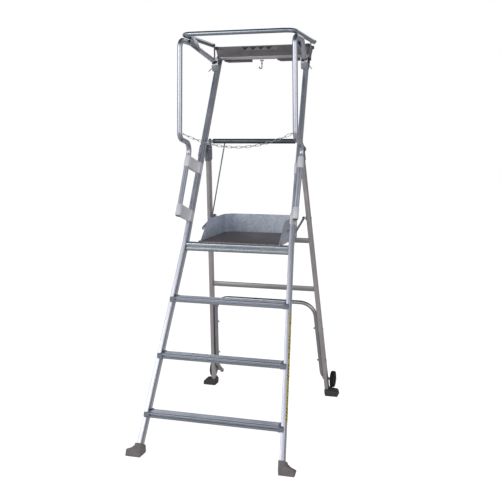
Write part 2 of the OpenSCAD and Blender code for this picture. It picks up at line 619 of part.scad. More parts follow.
module wheel_axles() color([0.62, 0.63, 0.65]) ctr() for (s = [0, 1]) mirror([s, 0, 0]) {
    pin_x(leg_x(wheel_z) - leg_w / 2 - arch_dia - 4, wheel_y, wheel_z, 10, wheel_x + wheel_w / 2 + 6 - leg_x(wheel_z) + leg_w / 2 + arch_dia + 4);
    pin_x(wheel_x + wheel_w / 2 + 1, wheel_y, wheel_z, 15, 5);
    pin_x(leg_x(wheel_z) - leg_w / 2 + 3, wheel_y, wheel_z, 16, wheel_x - wheel_w / 2 - 1 - leg_x(wheel_z) + leg_w / 2 - 3);
}

// ---------------------------------------------------------------- wheels
hub_d = 52;
module tyre() translate([wheel_x, wheel_y, wheel_z]) rotate([0, 90, 0]) rotate_extrude()
    polygon([[hub_d / 2, -wheel_w / 2 + 3], [wheel_dia / 2 - 6, -wheel_w / 2 + 1], [wheel_dia / 2 - 1, -wheel_w / 2 + 5], [wheel_dia / 2, -3],
        [wheel_dia / 2, 3], [wheel_dia / 2 - 1, wheel_w / 2 - 5], [wheel_dia / 2 - 6, wheel_w / 2 - 1], [hub_d / 2, wheel_w / 2 - 3]]);
module hub() translate([wheel_x, wheel_y, wheel_z]) rotate([0, 90, 0]) rotate_extrude()
    polygon([[5 + run_fit, -wheel_w / 2 + 0.5], [11, -wheel_w / 2 + 0.5], [12, -4], [22, -4], [22, -wheel_w / 2 + 3], [hub_d / 2, -wheel_w / 2 + 3],
        [hub_d / 2, wheel_w / 2 - 3], [22, wheel_w / 2 - 3], [22, 4], [12, 4], [11, wheel_w / 2 - 0.5], [5 + run_fit, wheel_w / 2 - 0.5]]);
module left_tyre() color([0.06, 0.06, 0.06]) ctr() left() tyre();
module right_tyre() color([0.06, 0.06, 0.06]) ctr() tyre();
module left_hub() color([0.12, 0.12, 0.13]) ctr() left() hub();
module right_hub() color([0.12, 0.12, 0.13]) ctr() hub();

// ---------------------------------------------------------------- platform
corner = 38;
function plan(o) = [[-deck_half - o, deck_y0], [deck_half + o, deck_y0], [deck_half + o, deck_y1 - corner + o * 0.4],
    [deck_half - corner + o * 0.4, deck_y1 + o], [-deck_half + corner - o * 0.4, deck_y1 + o], [-deck_half - o, deck_y1 - corner + o * 0.4]];
module deck_frame() color([0.70, 0.72, 0.75]) ctr() difference() {
    translate([0, 0, frame_z]) linear_extrude(height = deck_t - 3) difference() {
        polygon(plan(0));
        difference() {
            polygon(plan(-24));
            translate([-300, deck_y0]) square([600, 28]);
            for (k = [1, 2]) translate([-300, deck_y0 + k * deck_len / 3 - 10]) square([600, 20]);
        }
    }
    for (s = [-1, 1]) pin_x(s * deck_half - 20, pivot_y, pivot_z, 8, 40);
}
module deck_panel() color([0.20, 0.16, 0.16]) ctr() translate([0, 0, deck_z - 3]) linear_extrude(height = 3) polygon(plan(0));
module toe_boards() color([0.66, 0.70, 0.75]) ctr() difference() {
    translate([0, 0, frame_z + 2]) linear_extrude(height = deck_z + toe_h - frame_z - 2) difference() {
        polygon(plan(2));
        polygon(plan(0));
        translate([-300, deck_y0 - 5]) square([600, 5]);
    }
    // slanted front edges
    translate([-300, deck_y0, deck_z]) rotate([90, 0, 90]) linear_extrude(height = 600)
        polygon([[-10, 0], [4, 0], [100, 78], [112, 92], [128, toe_h - 1], [150, toe_h + 0.5], [150, toe_h + 20], [-10, toe_h + 20]]);
    for (s = [-1, 1]) {
        pin_x(s * deck_half - 20, pivot_y, pivot_z, 8, 40);
        pin_x(s * deck_half - 20, strut_q_y, strut_q_z, 8, 40);
    }
}
module platform_pins() color([0.66, 0.67, 0.69]) ctr() for (s = [0, 1]) mirror([s, 0, 0]) {
    pin_x(deck_half - 20, pivot_y, pivot_z, 8, 33);
    // post that stands out from the toe board to the link
    pin_x(deck_half - 1, strut_q_y, strut_q_z, 8, 10);
    difference() {
        pin_x(deck_half + 2, strut_q_y, strut_q_z, 14, strut_x - 0.4 - deck_half - 2);
        pin_x(deck_half - 1, strut_q_y, strut_q_z, 8, 10);
    }
}

module strut() difference() {
    union() {
        pin_x(strut_x, leg_y(strut_z), strut_z, 18, 4);
        pin_x(strut_x, strut_q_y, strut_q_z, 18, 4);
        a = atan2(strut_z - strut_q_z, leg_y(strut_z) - strut_q_y);
        l = norm([strut_z - strut_q_z, leg_y(strut_z) - strut_q_y]);
        translate([strut_x, strut_q_y, strut_q_z]) rotate([a, 0, 0]) translate([0, 0, -8]) cube([4, l, 16]);
        pin_x(strut_x + 1, strut_q_y, strut_q_z, 12, 5);
    }
    pin_x(strut_x - 5, leg_y(strut_z), strut_z, 8 + 2 * run_fit, 20);
}
module left_strut() color([0.40, 0.45, 0.50]) ctr() left() strut();
module right_strut() color([0.40, 0.45, 0.50]) ctr() strut();

// ---------------------------------------------------------------- gate
gate_r = 48;
module gate_half() {
    len = gate_pivot_y + 12 - gate_front_y - gate_r;
    translate([gate_x, gate_pivot_y + 12, gate_z]) rotate([90, 0, 0])
        run(len, gate_dia, 2, 0) turn(90, gate_r, 90, gate_dia, 2) children();
}
module gate_bar() color([0.62, 0.66, 0.70]) ctr() difference() {
    union() { gate_half() run(2 * (gate_x - gate_r), gate_dia, 2); left() gate_half(); }
    for (s = [0, 1]) mirror([s, 0, 0]) pin_x(gate_x - 30, gate_pivot_y, gate_z, 8 + 2 * run_fit, 60);
}
module gate_end_caps() color([0.10, 0.11, 0.12]) ctr() for (s = [0, 1]) mirror([s, 0, 0])
    translate([gate_x, gate_pivot_y + 12, gate_z]) rotate([-90, 0, 0]) cylinder(d = gate_dia + 1, h = 6);

left_stile();
right_stile();
lower_tread();
middle_tread();
upper_tread();
tread_end_caps();
front_beam();
left_front_foot();
right_front_foot();
tool_tray();
tray_rail();
tray_corner_caps();
tray_hook();
left_hinge_plate();
right_hinge_plate();
hinge_pins();
left_clamps();
right_clamps();
left_guard_tube();
right_guard_tube();
left_gate_bracket();
right_gate_bracket();
left_catch();
right_catch();
left_gate_strap();
right_gate_strap();
gate_pins();
chain();
chain_eyes();
hazard_strip();
platform_lugs();
left_rear_leg();
right_rear_leg();
lower_crossbar();
upper_crossbar();
wheel_arch();
arch_bolts();
left_rear_foot();
right_rear_foot();
left_leg_bracket();
right_leg_bracket();
knee_rail();
rail_spigots();
stay_rods();
strut_bolts();
wheel_axles();
left_tyre();
left_hub();
right_tyre();
right_hub();
deck_frame();
deck_panel();
toe_boards();
platform_pins();
left_strut();
right_strut();
gate_bar();
gate_end_caps();
left_lock_pin();
right_lock_pin();
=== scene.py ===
"""Folding platform step ladder: the looks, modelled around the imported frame."""

import logging
import math
from dataclasses import dataclass
from enum import Enum

import bpy
from mathutils import Matrix, Vector


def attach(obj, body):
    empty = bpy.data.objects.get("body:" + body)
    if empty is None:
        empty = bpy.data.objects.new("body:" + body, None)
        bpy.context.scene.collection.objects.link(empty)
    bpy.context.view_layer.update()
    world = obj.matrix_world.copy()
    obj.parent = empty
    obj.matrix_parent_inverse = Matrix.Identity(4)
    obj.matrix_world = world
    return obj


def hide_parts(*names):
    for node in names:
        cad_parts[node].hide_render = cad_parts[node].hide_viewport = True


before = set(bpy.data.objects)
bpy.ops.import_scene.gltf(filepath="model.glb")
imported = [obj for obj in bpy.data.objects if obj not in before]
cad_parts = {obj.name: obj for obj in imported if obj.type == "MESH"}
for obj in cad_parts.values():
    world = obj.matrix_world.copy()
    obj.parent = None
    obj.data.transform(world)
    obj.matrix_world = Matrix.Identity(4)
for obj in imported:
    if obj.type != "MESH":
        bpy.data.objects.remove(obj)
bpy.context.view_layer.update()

logging.basicConfig(level=logging.INFO, format="%(message)s")
log = logging.getLogger("step_ladder")

Outline = list[tuple[float, float]]
Triple = tuple[float, float, float]
Colour = Triple
Socket = bpy.types.NodeSocket

MM = 0.001
# Points closer than this, in metres, are one point.
MERGE = 0.000002
# The spin operator turns against the right-hand rule about its axis.
SPIN_SIGN = -1
# Turns an outline so that its X goes back, its Y goes up and it is drawn out along X.
ACROSS = Matrix(((0, 0, 1, 0), (1, 0, 0, 0), (0, 1, 0, 0), (0, 0, 0, 1)))


class Side(Enum):
    """The two sides of the ladder, as the sign of X."""

    LEFT = -1
    RIGHT = 1

    @property
    def word(self) -> str:
        """The side's name as the frame's nodes spell it."""
        return self.name.lower()


class Grain(Enum):
    """The direction of a metal's drawing lines, as noise scales along X, Y and Z."""

    ALONG_X = (3.0, 160.0, 160.0)
    ALONG_Z = (160.0, 160.0, 3.0)
    EVEN = (60.0, 60.0, 60.0)


# ---------------------------------------------------------------- sizes


@dataclass(frozen=True)
class LadderPlan:
    """The ladder's main sizes in millimetres and degrees, with Y from the front feet."""

    platform_h: float = 950.0
    first_rise: float = 195.0
    lean: float = 25.8
    rear: float = 13.7
    foot_half: float = 345.0
    kink_half: float = 271.0
    top_half: float = 240.0
    stile_w: float = 20.0
    stile_d: float = 45.0
    leg_w: float = 20.0
    leg_d: float = 40.0
    tread_d: float = 58.0
    tread_t: float = 24.0
    beam_h: float = 42.0
    beam_d: float = 40.0
    deck_half: float = 202.0
    deck_len: float = 433.0
    deck_t: float = 16.0
    toe_h: float = 100.0
    guard_dia: float = 25.0
    guard_off: float = 101.5
    guard_half: float = 283.0
    guard_slope: float = 0.0164
    gate_dia: float = 22.0
    wheel_dia: float = 94.0
    wheel_w: float = 27.0
    arch_dia: float = 22.0
    stile_y0: float = 9.0
    wheel_z: float = 82.0
    arch_z: float = 565.0
    arch_r: float = 85.0
    post_y: float = 450.0
    gate_front_y: float = 459.0
    foot_front: float = 14.0

    @property
    def top_h(self) -> float:
        """Height of the stiles' top ends."""
        return self.platform_h + 938

    @property
    def hinge_z(self) -> float:
        """Height of the hinge of the rear frame."""
        return self.platform_h + 458

    @property
    def tread_rise(self) -> float:
        """Rise from one tread to the next."""
        return (self.platform_h - self.first_rise) / 3

    @property
    def guard_top_z(self) -> float:
        """Height of the guard tubes' top run."""
        return self.platform_h + 982

    @property
    def catch_z(self) -> float:
        """Height of the catch blocks."""
        return self.platform_h + 916

    def stile_x(self, z: float) -> float:
        """Distance of a front stile's middle line from the ladder's middle at height z.

        Args:
            z: Height in millimetres.

        Returns:
            The distance in millimetres.
        """
        if z < self.platform_h:
            return self.foot_half - (self.foot_half - self.kink_half) * z / self.platform_h
        above, all_above = z - self.platform_h, self.top_h - self.platform_h
        return self.kink_half - (self.kink_half - self.top_half) * above / all_above

    def stile_y(self, z: float) -> float:
        """How far back a front stile's middle line is at height z."""
        return self.stile_y0 + z * math.tan(math.radians(self.lean))

    def guard_x(self, z: float) -> float:
        """Distance of a guard post's middle line from the ladder's middle at height z."""
        return self.guard_half + self.guard_slope * (self.guard_top_z - z)

    @property
    def hinge_y(self) -> float:
        """How far back the hinge of the rear frame is."""
        return self.stile_y(self.hinge_z) + 70.6

    def leg_x(self, z: float) -> float:
        """Distance of a rear leg's middle line from the ladder's middle at height z."""
        top = self.stile_x(self.hinge_z) - 5
        return self.foot_half - (self.foot_half - top) * z / self.hinge_z

    def leg_y(self, z: float) -> float:
        """How far back a rear leg's middle line is at height z."""
        return self.hinge_y + (self.hinge_z - z) * math.tan(math.radians(self.rear))

    @property
    def wheel_y(self) -> float:
        """How far back the wheels' axle is."""
        leg_back = self.leg_y(self.wheel_z) + self.leg_d / 2 / math.cos(math.radians(self.rear))
        return leg_back + self.wheel_dia / 2 + 2.5

    @property
    def wheel_x(self) -> float:
        """Distance of a wheel's middle from the ladder's middle."""
        return self.leg_x(self.wheel_z) + self.leg_w / 2 + 1.5 + self.wheel_w / 2

    @property
    def y_mid(self) -> float:
        """What is taken off Y to centre the ladder."""
        return (self.wheel_y + self.wheel_dia / 2 + self.stile_y0 - self.foot_front) / 2

    @property
    def deck_y0(self) -> float:
        """How far back the deck's front edge is."""
        return self.stile_y(self.platform_h) - 25 + self.beam_d + 5

    @property
    def deck_z(self) -> float:
        """Height of the deck's top."""
        return self.platform_h + 3

    @property
    def gate_z(self) -> float:
        """Height of the gate bar at rest."""
        return self.guard_top_z + self.guard_dia / 2 + self.gate_dia / 2 + 1.5

    @property
    def gate_pivot_y(self) -> float:
        """How far back the gate's pivot is."""
        return self.stile_y(self.top_h) - 17

    def at(self, x: float, y: float, z: float) -> Vector:
        """A point of this plan as a place in the frame.

        Args:
            x: Distance from the ladder's middle, in millimetres.
            y: Distance back from the front feet, in millimetres.
            z: Height in millimetres.

        Returns:
            The place in metres.
        """
        return Vector((x, y - self.y_mid, z)) * MM


PLAN = LadderPlan()


# ---------------------------------------------------------------- finishes


class NodeDesk:
    """A node tree, with short calls that add and join nodes."""

    def __init__(self, tree: bpy.types.NodeTree) -> None:
        """Takes up a tree.

        Args:
            tree: The tree that the nodes go into.
        """
        self.tree = tree

    def add(self, kind: str, **settings: object) -> bpy.types.Node:
        """Adds a node and sets its own settings.

        Args:
            kind: The node's type.
            settings: Its settings by name.

        Returns:
            The node.
        """
        node = self.tree.nodes.new(kind)
        for key, value in settings.items():
            setattr(node, key, value)
        return node

    def join(self, source: Socket, target: Socket) -> None:
        """Joins two sockets."""
        self.tree.links.new(source, target)

    def place(self, scale: Triple = (1, 1, 1), turn: Triple = (0, 0, 0)) -> Socket:
        """Object coordinates, scaled and turned.

        Args:
            scale: Scale along X, Y and Z.
            turn: Turn about X, Y and Z, in degrees.

        Returns:
            The socket that gives the coordinates.
        """
        coords = self.add("ShaderNodeTexCoord")
        mapping = self.add("ShaderNodeMapping")
        mapping.inputs["Scale"].default_value = scale
        mapping.inputs["Rotation"].default_value = [math.radians(a) for a in turn]
        self.join(coords.outputs["Object"], mapping.inputs["Vector"])
        return mapping.outputs["Vector"]

    def noise(self, where: Socket, scale: float, detail: float = 3.0) -> Socket:
        """A noise's strength at a place.

        Args:
            where: The coordinates.
            scale: How fine the noise is.
            detail: How many finer layers it has.

        Returns:
            The socket that gives the strength.
        """
        node = self.add("ShaderNodeTexNoise")
        node.inputs["Scale"].default_value = scale
        node.inputs["Detail"].default_value = detail
        node.inputs["Roughness"].default_value = 0.55
        self.join(where, node.inputs["Vector"])
        return node.outputs["Fac"]

    def ramp(self, value: Socket, stops: list[tuple[float, Colour]]) -> Socket:
        """Colours by a value.

        Args:
            value: What is looked up.
            stops: Places from 0 to 1 with their colours.

        Returns:
            The socket that gives the colour.
        """
        node = self.add("ShaderNodeValToRGB")
        ramp = node.color_ramp
        while len(ramp.elements) < len(stops):
            ramp.elements.new(0.5)
        for element, (at, colour) in zip(ramp.elements, stops):
            element.position = at
            element.color = (*colour, 1)
        self.join(value, node.inputs["Fac"])
        return node.outputs["Color"]

    def spread(
        self, value: Socket, low: float, high: float, start: float = 0.3, end: float = 0.7
    ) -> Socket:
        """Stretches a range of values.

        Args:
            value: What is stretched.
            low: What the range's start becomes.
            high: What the range's end becomes.
            start: Where the range starts.
            end: Where it ends.

        Returns:
            The socket that gives the stretched value.
        """
        node = self.add("ShaderNodeMapRange")
        limits = (("From Min", start), ("From Max", end), ("To Min", low), ("To Max", high))
        for key, number in limits:
            node.inputs[key].default_value = number
        self.join(value, node.inputs["Value"])
        return node.outputs["Result"]

    def blend(self, kind: str, factor: float, a: Socket, b: Socket) -> Socket:
        """Two colours mixed.

        Args:
            kind: The mix's blend type.
            factor: How much of the second comes in.
            a: The first colour.
            b: The second colour.

        Returns:
            The socket that gives the mixed colour.
        """
        node = self.add("ShaderNodeMix", data_type="RGBA", blend_type=kind)
        node.inputs["Factor"].default_value = factor
        self.join(a, node.inputs["A"])
        self.join(b, node.inputs["B"])
        return node.outputs["Result"]

    def bump(
        self, height: Socket, depth: float, strength: float, under: Socket | None = None
    ) -> Socket:
        """A bump.

        Args:
            height: What gives the height.
            depth: How deep it is, in metres.
            strength: How strong it is.
            under: The bump that this one lies on.

        Returns:
            The socket that gives the normal.
        """
        node = self.add("ShaderNodeBump")
        node.inputs["Distance"].default_value = depth
        node.inputs["Strength"].default_value = strength
        self.join(height, node.inputs["Height"])
        if under is not None:
            self.join(under, node.inputs["Normal"])
        return node.outputs["Normal"]


class FinishDesk(NodeDesk):
    """The node tree of a new material."""

    def __init__(self, name: str) -> None:
        """Starts a material.

        Args:
            name: The material's name.
        """
        self.material = bpy.data.materials.new(name)
        self.material.use_nodes = True
        super().__init__(self.material.node_tree)
        self.shader = self.tree.nodes["Principled BSDF"]

    def dress(self, **sources: Socket | float | Colour) -> None:
        """Sets or joins the shader's inputs, named with _ for a space.

        Args:
            sources: A socket to join or a value to set, by the input's name.
        """
        for key, source in sources.items():
            target = self.shader.inputs[key.replace("_", " ")]
            if isinstance(source, Socket):
                self.join(source, target)
            else:
                target.default_value = source


def tint(colour: Colour, by: float) -> Colour:
    """A colour made lighter or darker by a factor."""
    return tuple(min(1.0, c * by) for c in colour)


@dataclass(frozen=True)
class DrawnMetal:
    """Drawn, plated or rolled metal: streaks along its grain, soft smudges and small scratches.

    Attributes:
        name: The finish's name.
        colour: Its colour.
        rough: Its middle roughness.
        grain: The direction of its drawing lines.
        streak: How much the streaks change the colour.
        depth: How deep the drawing lines are, in metres; 0 for a polished surface.
        metallic: How much it is bare metal.
    """

    name: str
    colour: Colour
    rough: float = 0.35
    grain: Grain = Grain.ALONG_Z
    streak: float = 0.08
    depth: float = 0.00006
    metallic: float = 1.0

    def material(self) -> bpy.types.Material:
        """Makes the finish as a material.

        Returns:
            The material.
        """
        desk = FinishDesk(self.name)
        lines = desk.noise(desk.place(self.grain.value), 5.0, 4.0)
        cloud = desk.noise(desk.place(), 9.0, 3.0)
        dull, bright = tint(self.colour, 1 - self.streak), tint(self.colour, 1 + self.streak)
        streaks = desk.ramp(lines, [(0.3, dull), (0.7, bright)])
        clouds = desk.ramp(cloud, [(0.32, (0.86, 0.87, 0.89)), (0.68, (1, 1, 1))])
        desk.dress(
            Metallic=self.metallic,
            Base_Color=desk.blend("MULTIPLY", 1.0, streaks, clouds),
            Roughness=desk.spread(cloud, max(0.05, self.rough - 0.07), self.rough + 0.09),
        )
        if self.depth:
            specks = desk.bump(desk.noise(desk.place(), 420.0, 2.0), 0.00001, 0.05)
            desk.dress(Normal=desk.bump(lines, self.depth, 0.06, specks))
        return desk.material


@dataclass(frozen=True)
class SpangledSheet:
    """Bright zinc-coated sheet with faint crystals and a cloudy sheen.

    Attributes:
        name: The finish's name.
        colour: Its colour.
        rough: Its middle roughness.
        metallic: How much it is bare metal.
    """

    name: str
    colour: Colour
    rough: float = 0.3
    metallic: float = 0.5

    def material(self) -> bpy.types.Material:
        """Makes the finish as a material.

        Returns:
            The material.
        """
        desk = FinishDesk(self.name)
        where = desk.place()
        crystals = desk.add("ShaderNodeTexVoronoi", feature="F1")
        crystals.inputs["Scale"].default_value = 95.0
        desk.join(where, crystals.inputs["Vector"])
        shade = desk.add("ShaderNodeSeparateColor")
        desk.join(crystals.outputs["Color"], shade.inputs["Color"])
        dull, bright = tint(self.colour, 0.86), tint(self.colour, 1.1)
        flakes = desk.ramp(shade.outputs["Red"], [(0.0, dull), (1.0, bright)])
        cloud = desk.noise(desk.place((1, 1, 0.5)), 7.0, 4.0)
        clouds = desk.ramp(cloud, [(0.3, (0.80, 0.83, 0.87)), (0.7, (1, 1, 1))])
        desk.dress(
            Metallic=self.metallic,
            Base_Color=desk.blend("MULTIPLY", 0.8, flakes, clouds),
            Roughness=desk.spread(cloud, self.rough - 0.06, self.rough + 0.12),
            Normal=desk.bump(desk.noise(where, 300.0, 3.0), 0.00005, 0.3),
        )
        return desk.material


@dataclass(frozen=True)
class Moulded:
    """Moulded plastic or rubber: a fine pebble, soft colour clouds, and pale rubbed edges.

    Attributes:
        name: The finish's name.
        colour: Its colour.
        rough: Its middle roughness.
        pebble: How fine the pebble is.
        depth: How deep the pebble is, in metres.
        rubbed: How much paler the rubbed edges are.
    """

    name: str
    colour: Colour
    rough: float = 0.55
    pebble: float = 900.0
    depth: float = 0.00012
    rubbed: float = 1.7

    def material(self) -> bpy.types.Material:
        """Makes the finish as a material.

        Returns:
            The material.
        """
        desk = FinishDesk(self.name)
        where = desk.place()
        cloud = desk.noise(where, 22.0, 4.0)
        body = desk.ramp(cloud, [(0.3, tint(self.colour, 0.82)), (0.72, tint(self.colour, 1.2))])
        edges = desk.add("ShaderNodeNewGeometry")
        worn = desk.spread(edges.outputs["Pointiness"], 0.0, 1.0, 0.515, 0.58)
        rub = desk.ramp(worn, [(0.0, (1, 1, 1)), (1.0, (self.rubbed,) * 3)])
        desk.dress(
            Base_Color=desk.blend("MULTIPLY", 1.0, body, rub),
            Roughness=desk.spread(cloud, self.rough - 0.08, self.rough + 0.1),
            Normal=desk.bump(desk.noise(where, self.pebble, 2.0), self.depth, 0.5),
        )
        return desk.material


@dataclass(frozen=True)
class HatchedFilm:
    """Yellow marking film with slanted black bars.

    Attributes:
        name: The finish's name.
        colour: The film's own colour.
        ink: The bars' colour.
        bars: How many bars there are to a metre.
        slant: How far the bars are turned from level, in degrees.
    """

    name: str
    colour: Colour
    ink: Colour = (0.02, 0.02, 0.02)
    bars: float = 62.0
    slant: float = 38.0

    def material(self) -> bpy.types.Material:
        """Makes the finish as a material.

        Returns:
            The material.
        """
        desk = FinishDesk(self.name)
        wave = desk.add(
            "ShaderNodeTexWave", wave_type="BANDS", bands_direction="Z", wave_profile="SAW"
        )
        wave.inputs["Scale"].default_value = self.bars / math.pi
        desk.join(desk.place(turn=(self.slant, 0, 0)), wave.inputs["Vector"])
        patch = desk.noise(desk.place(), 34.0, 1.0)
        printed = desk.add("ShaderNodeMath", operation="MULTIPLY")
        desk.join(wave.outputs["Fac"], printed.inputs[0])
        desk.join(desk.spread(patch, 0.55, 1.25, 0.4, 0.6), printed.inputs[1])
        film = [(0.0, self.colour), (0.60, tint(self.colour, 0.85))]
        ink = [(0.64, self.ink), (1.0, (0.03, 0.03, 0.028))]
        desk.dress(
            Base_Color=desk.ramp(printed.outputs["Value"], film + ink),
            Roughness=desk.spread(patch, 0.35, 0.5),
        )
        return desk.material


@dataclass(frozen=True)
class DeckFilm:
    """Brown board with a pressed anti-slip mesh.

    Attributes:
        name: The finish's name.
        colour: Its colour.
    """

    name: str
    colour: Colour

    def material(self) -> bpy.types.Material:
        """Makes the finish as a material.

        Returns:
            The material.
        """
        desk = FinishDesk(self.name)
        where = desk.place()
        mesh = desk.add("ShaderNodeTexVoronoi", feature="DISTANCE_TO_EDGE")
        mesh.inputs["Scale"].default_value = 260.0
        mesh.inputs["Randomness"].default_value = 0.25
        desk.join(where, mesh.inputs["Vector"])
        cloud = desk.noise(desk.place((1, 0.3, 1)), 14.0, 5.0)
        board = desk.ramp(cloud, [(0.3, tint(self.colour, 0.75)), (0.7, tint(self.colour, 1.3))])
        cells = desk.ramp(mesh.outputs["Distance"], [(0.02, (0.6, 0.6, 0.6)), (0.12, (1, 1, 1))])
        pressed = desk.spread(mesh.outputs["Distance"], 0.0, 1.0, 0.0, 0.2)
        desk.dress(
            Base_Color=desk.blend("MULTIPLY", 0.7, board, cells),
            Roughness=desk.spread(cloud, 0.42, 0.6),
            Normal=desk.bump(pressed, 0.0004, 0.5),
        )
        return desk.material


STILE = DrawnMetal("stile_aluminium", (0.65, 0.66, 0.715), 0.32, Grain.ALONG_Z, 0.05)
TREAD = DrawnMetal("tread_aluminium", (0.54, 0.57, 0.62), 0.34, Grain.ALONG_X, 0.10)
BEAM = DrawnMetal("beam_aluminium", (0.54, 0.58, 0.62), 0.26, Grain.ALONG_X, 0.06)
MILL = DrawnMetal("mill_aluminium", (0.46, 0.44, 0.44), 0.38, Grain.ALONG_X, 0.08)
LEG = DrawnMetal("leg_aluminium", (0.78, 0.725, 0.715), 0.36, Grain.ALONG_Z, 0.06)
GUARD = DrawnMetal("guard_aluminium", (0.71, 0.72, 0.785), 0.33, Grain.ALONG_Z, 0.0, 0.0)
GATE_TUBE = DrawnMetal("gate_aluminium", (0.46, 0.50, 0.55), 0.28, Grain.ALONG_X, 0.02, 0.0)
ARCH_TUBE = DrawnMetal("arch_aluminium", (0.54, 0.55, 0.58), 0.28, Grain.ALONG_Z, 0.02, 0.0)
ZINC = DrawnMetal("zinc_steel", (0.58, 0.60, 0.63), 0.30, Grain.EVEN, 0.10)
LINK_STEEL = DrawnMetal("blued_steel", (0.38, 0.43, 0.49), 0.32, Grain.EVEN, 0.10)
DARK_STEEL = DrawnMetal("dark_steel", (0.20, 0.215, 0.235), 0.38, Grain.EVEN, 0.14, metallic=0.85)
BRACKET_STEEL = DrawnMetal(
    "bracket_steel", (0.36, 0.385, 0.42), 0.36, Grain.EVEN, 0.12, metallic=0.9
)
RAIL_STEEL = DrawnMetal("rail_steel", (0.15, 0.165, 0.185), 0.28, Grain.ALONG_X, 0.14, metallic=0.8)
CLAMP = DrawnMetal("clamp_sheet", (1.0, 0.98, 1.0), 0.62, Grain.EVEN, 0.05, 0.00012, metallic=0.1)
TOE_SHEET = SpangledSheet("toe_sheet", (0.74, 0.79, 0.86), 0.34)
SLATE = Moulded("slate_plastic", (0.15, 0.168, 0.19), 0.5)
FOOT_FRONT = Moulded("grey_rubber", (0.19, 0.172, 0.166), 0.62, 620.0, 0.0002, 1.5)
FOOT_REAR = Moulded("dark_rubber", (0.060, 0.054, 0.053), 0.6, 620.0, 0.0002, 1.6)
TRAY = Moulded("tray_plastic", (0.13, 0.122, 0.126), 0.42, 520.0, 0.0001, 1.6)
BLACK = Moulded("black_plastic", (0.014, 0.014, 0.015), 0.4, 900.0, 0.0001, 2.2)
TYRE = Moulded("tyre_rubber", (0.014, 0.014, 0.015), 0.7, 420.0, 0.0002, 2.0)
HATCH = HatchedFilm("hazard_film", (0.95, 0.80, 0.02))
DECK = DeckFilm("deck_brown", (0.165, 0.125, 0.132))


# ---------------------------------------------------------------- the bench: modelling operators


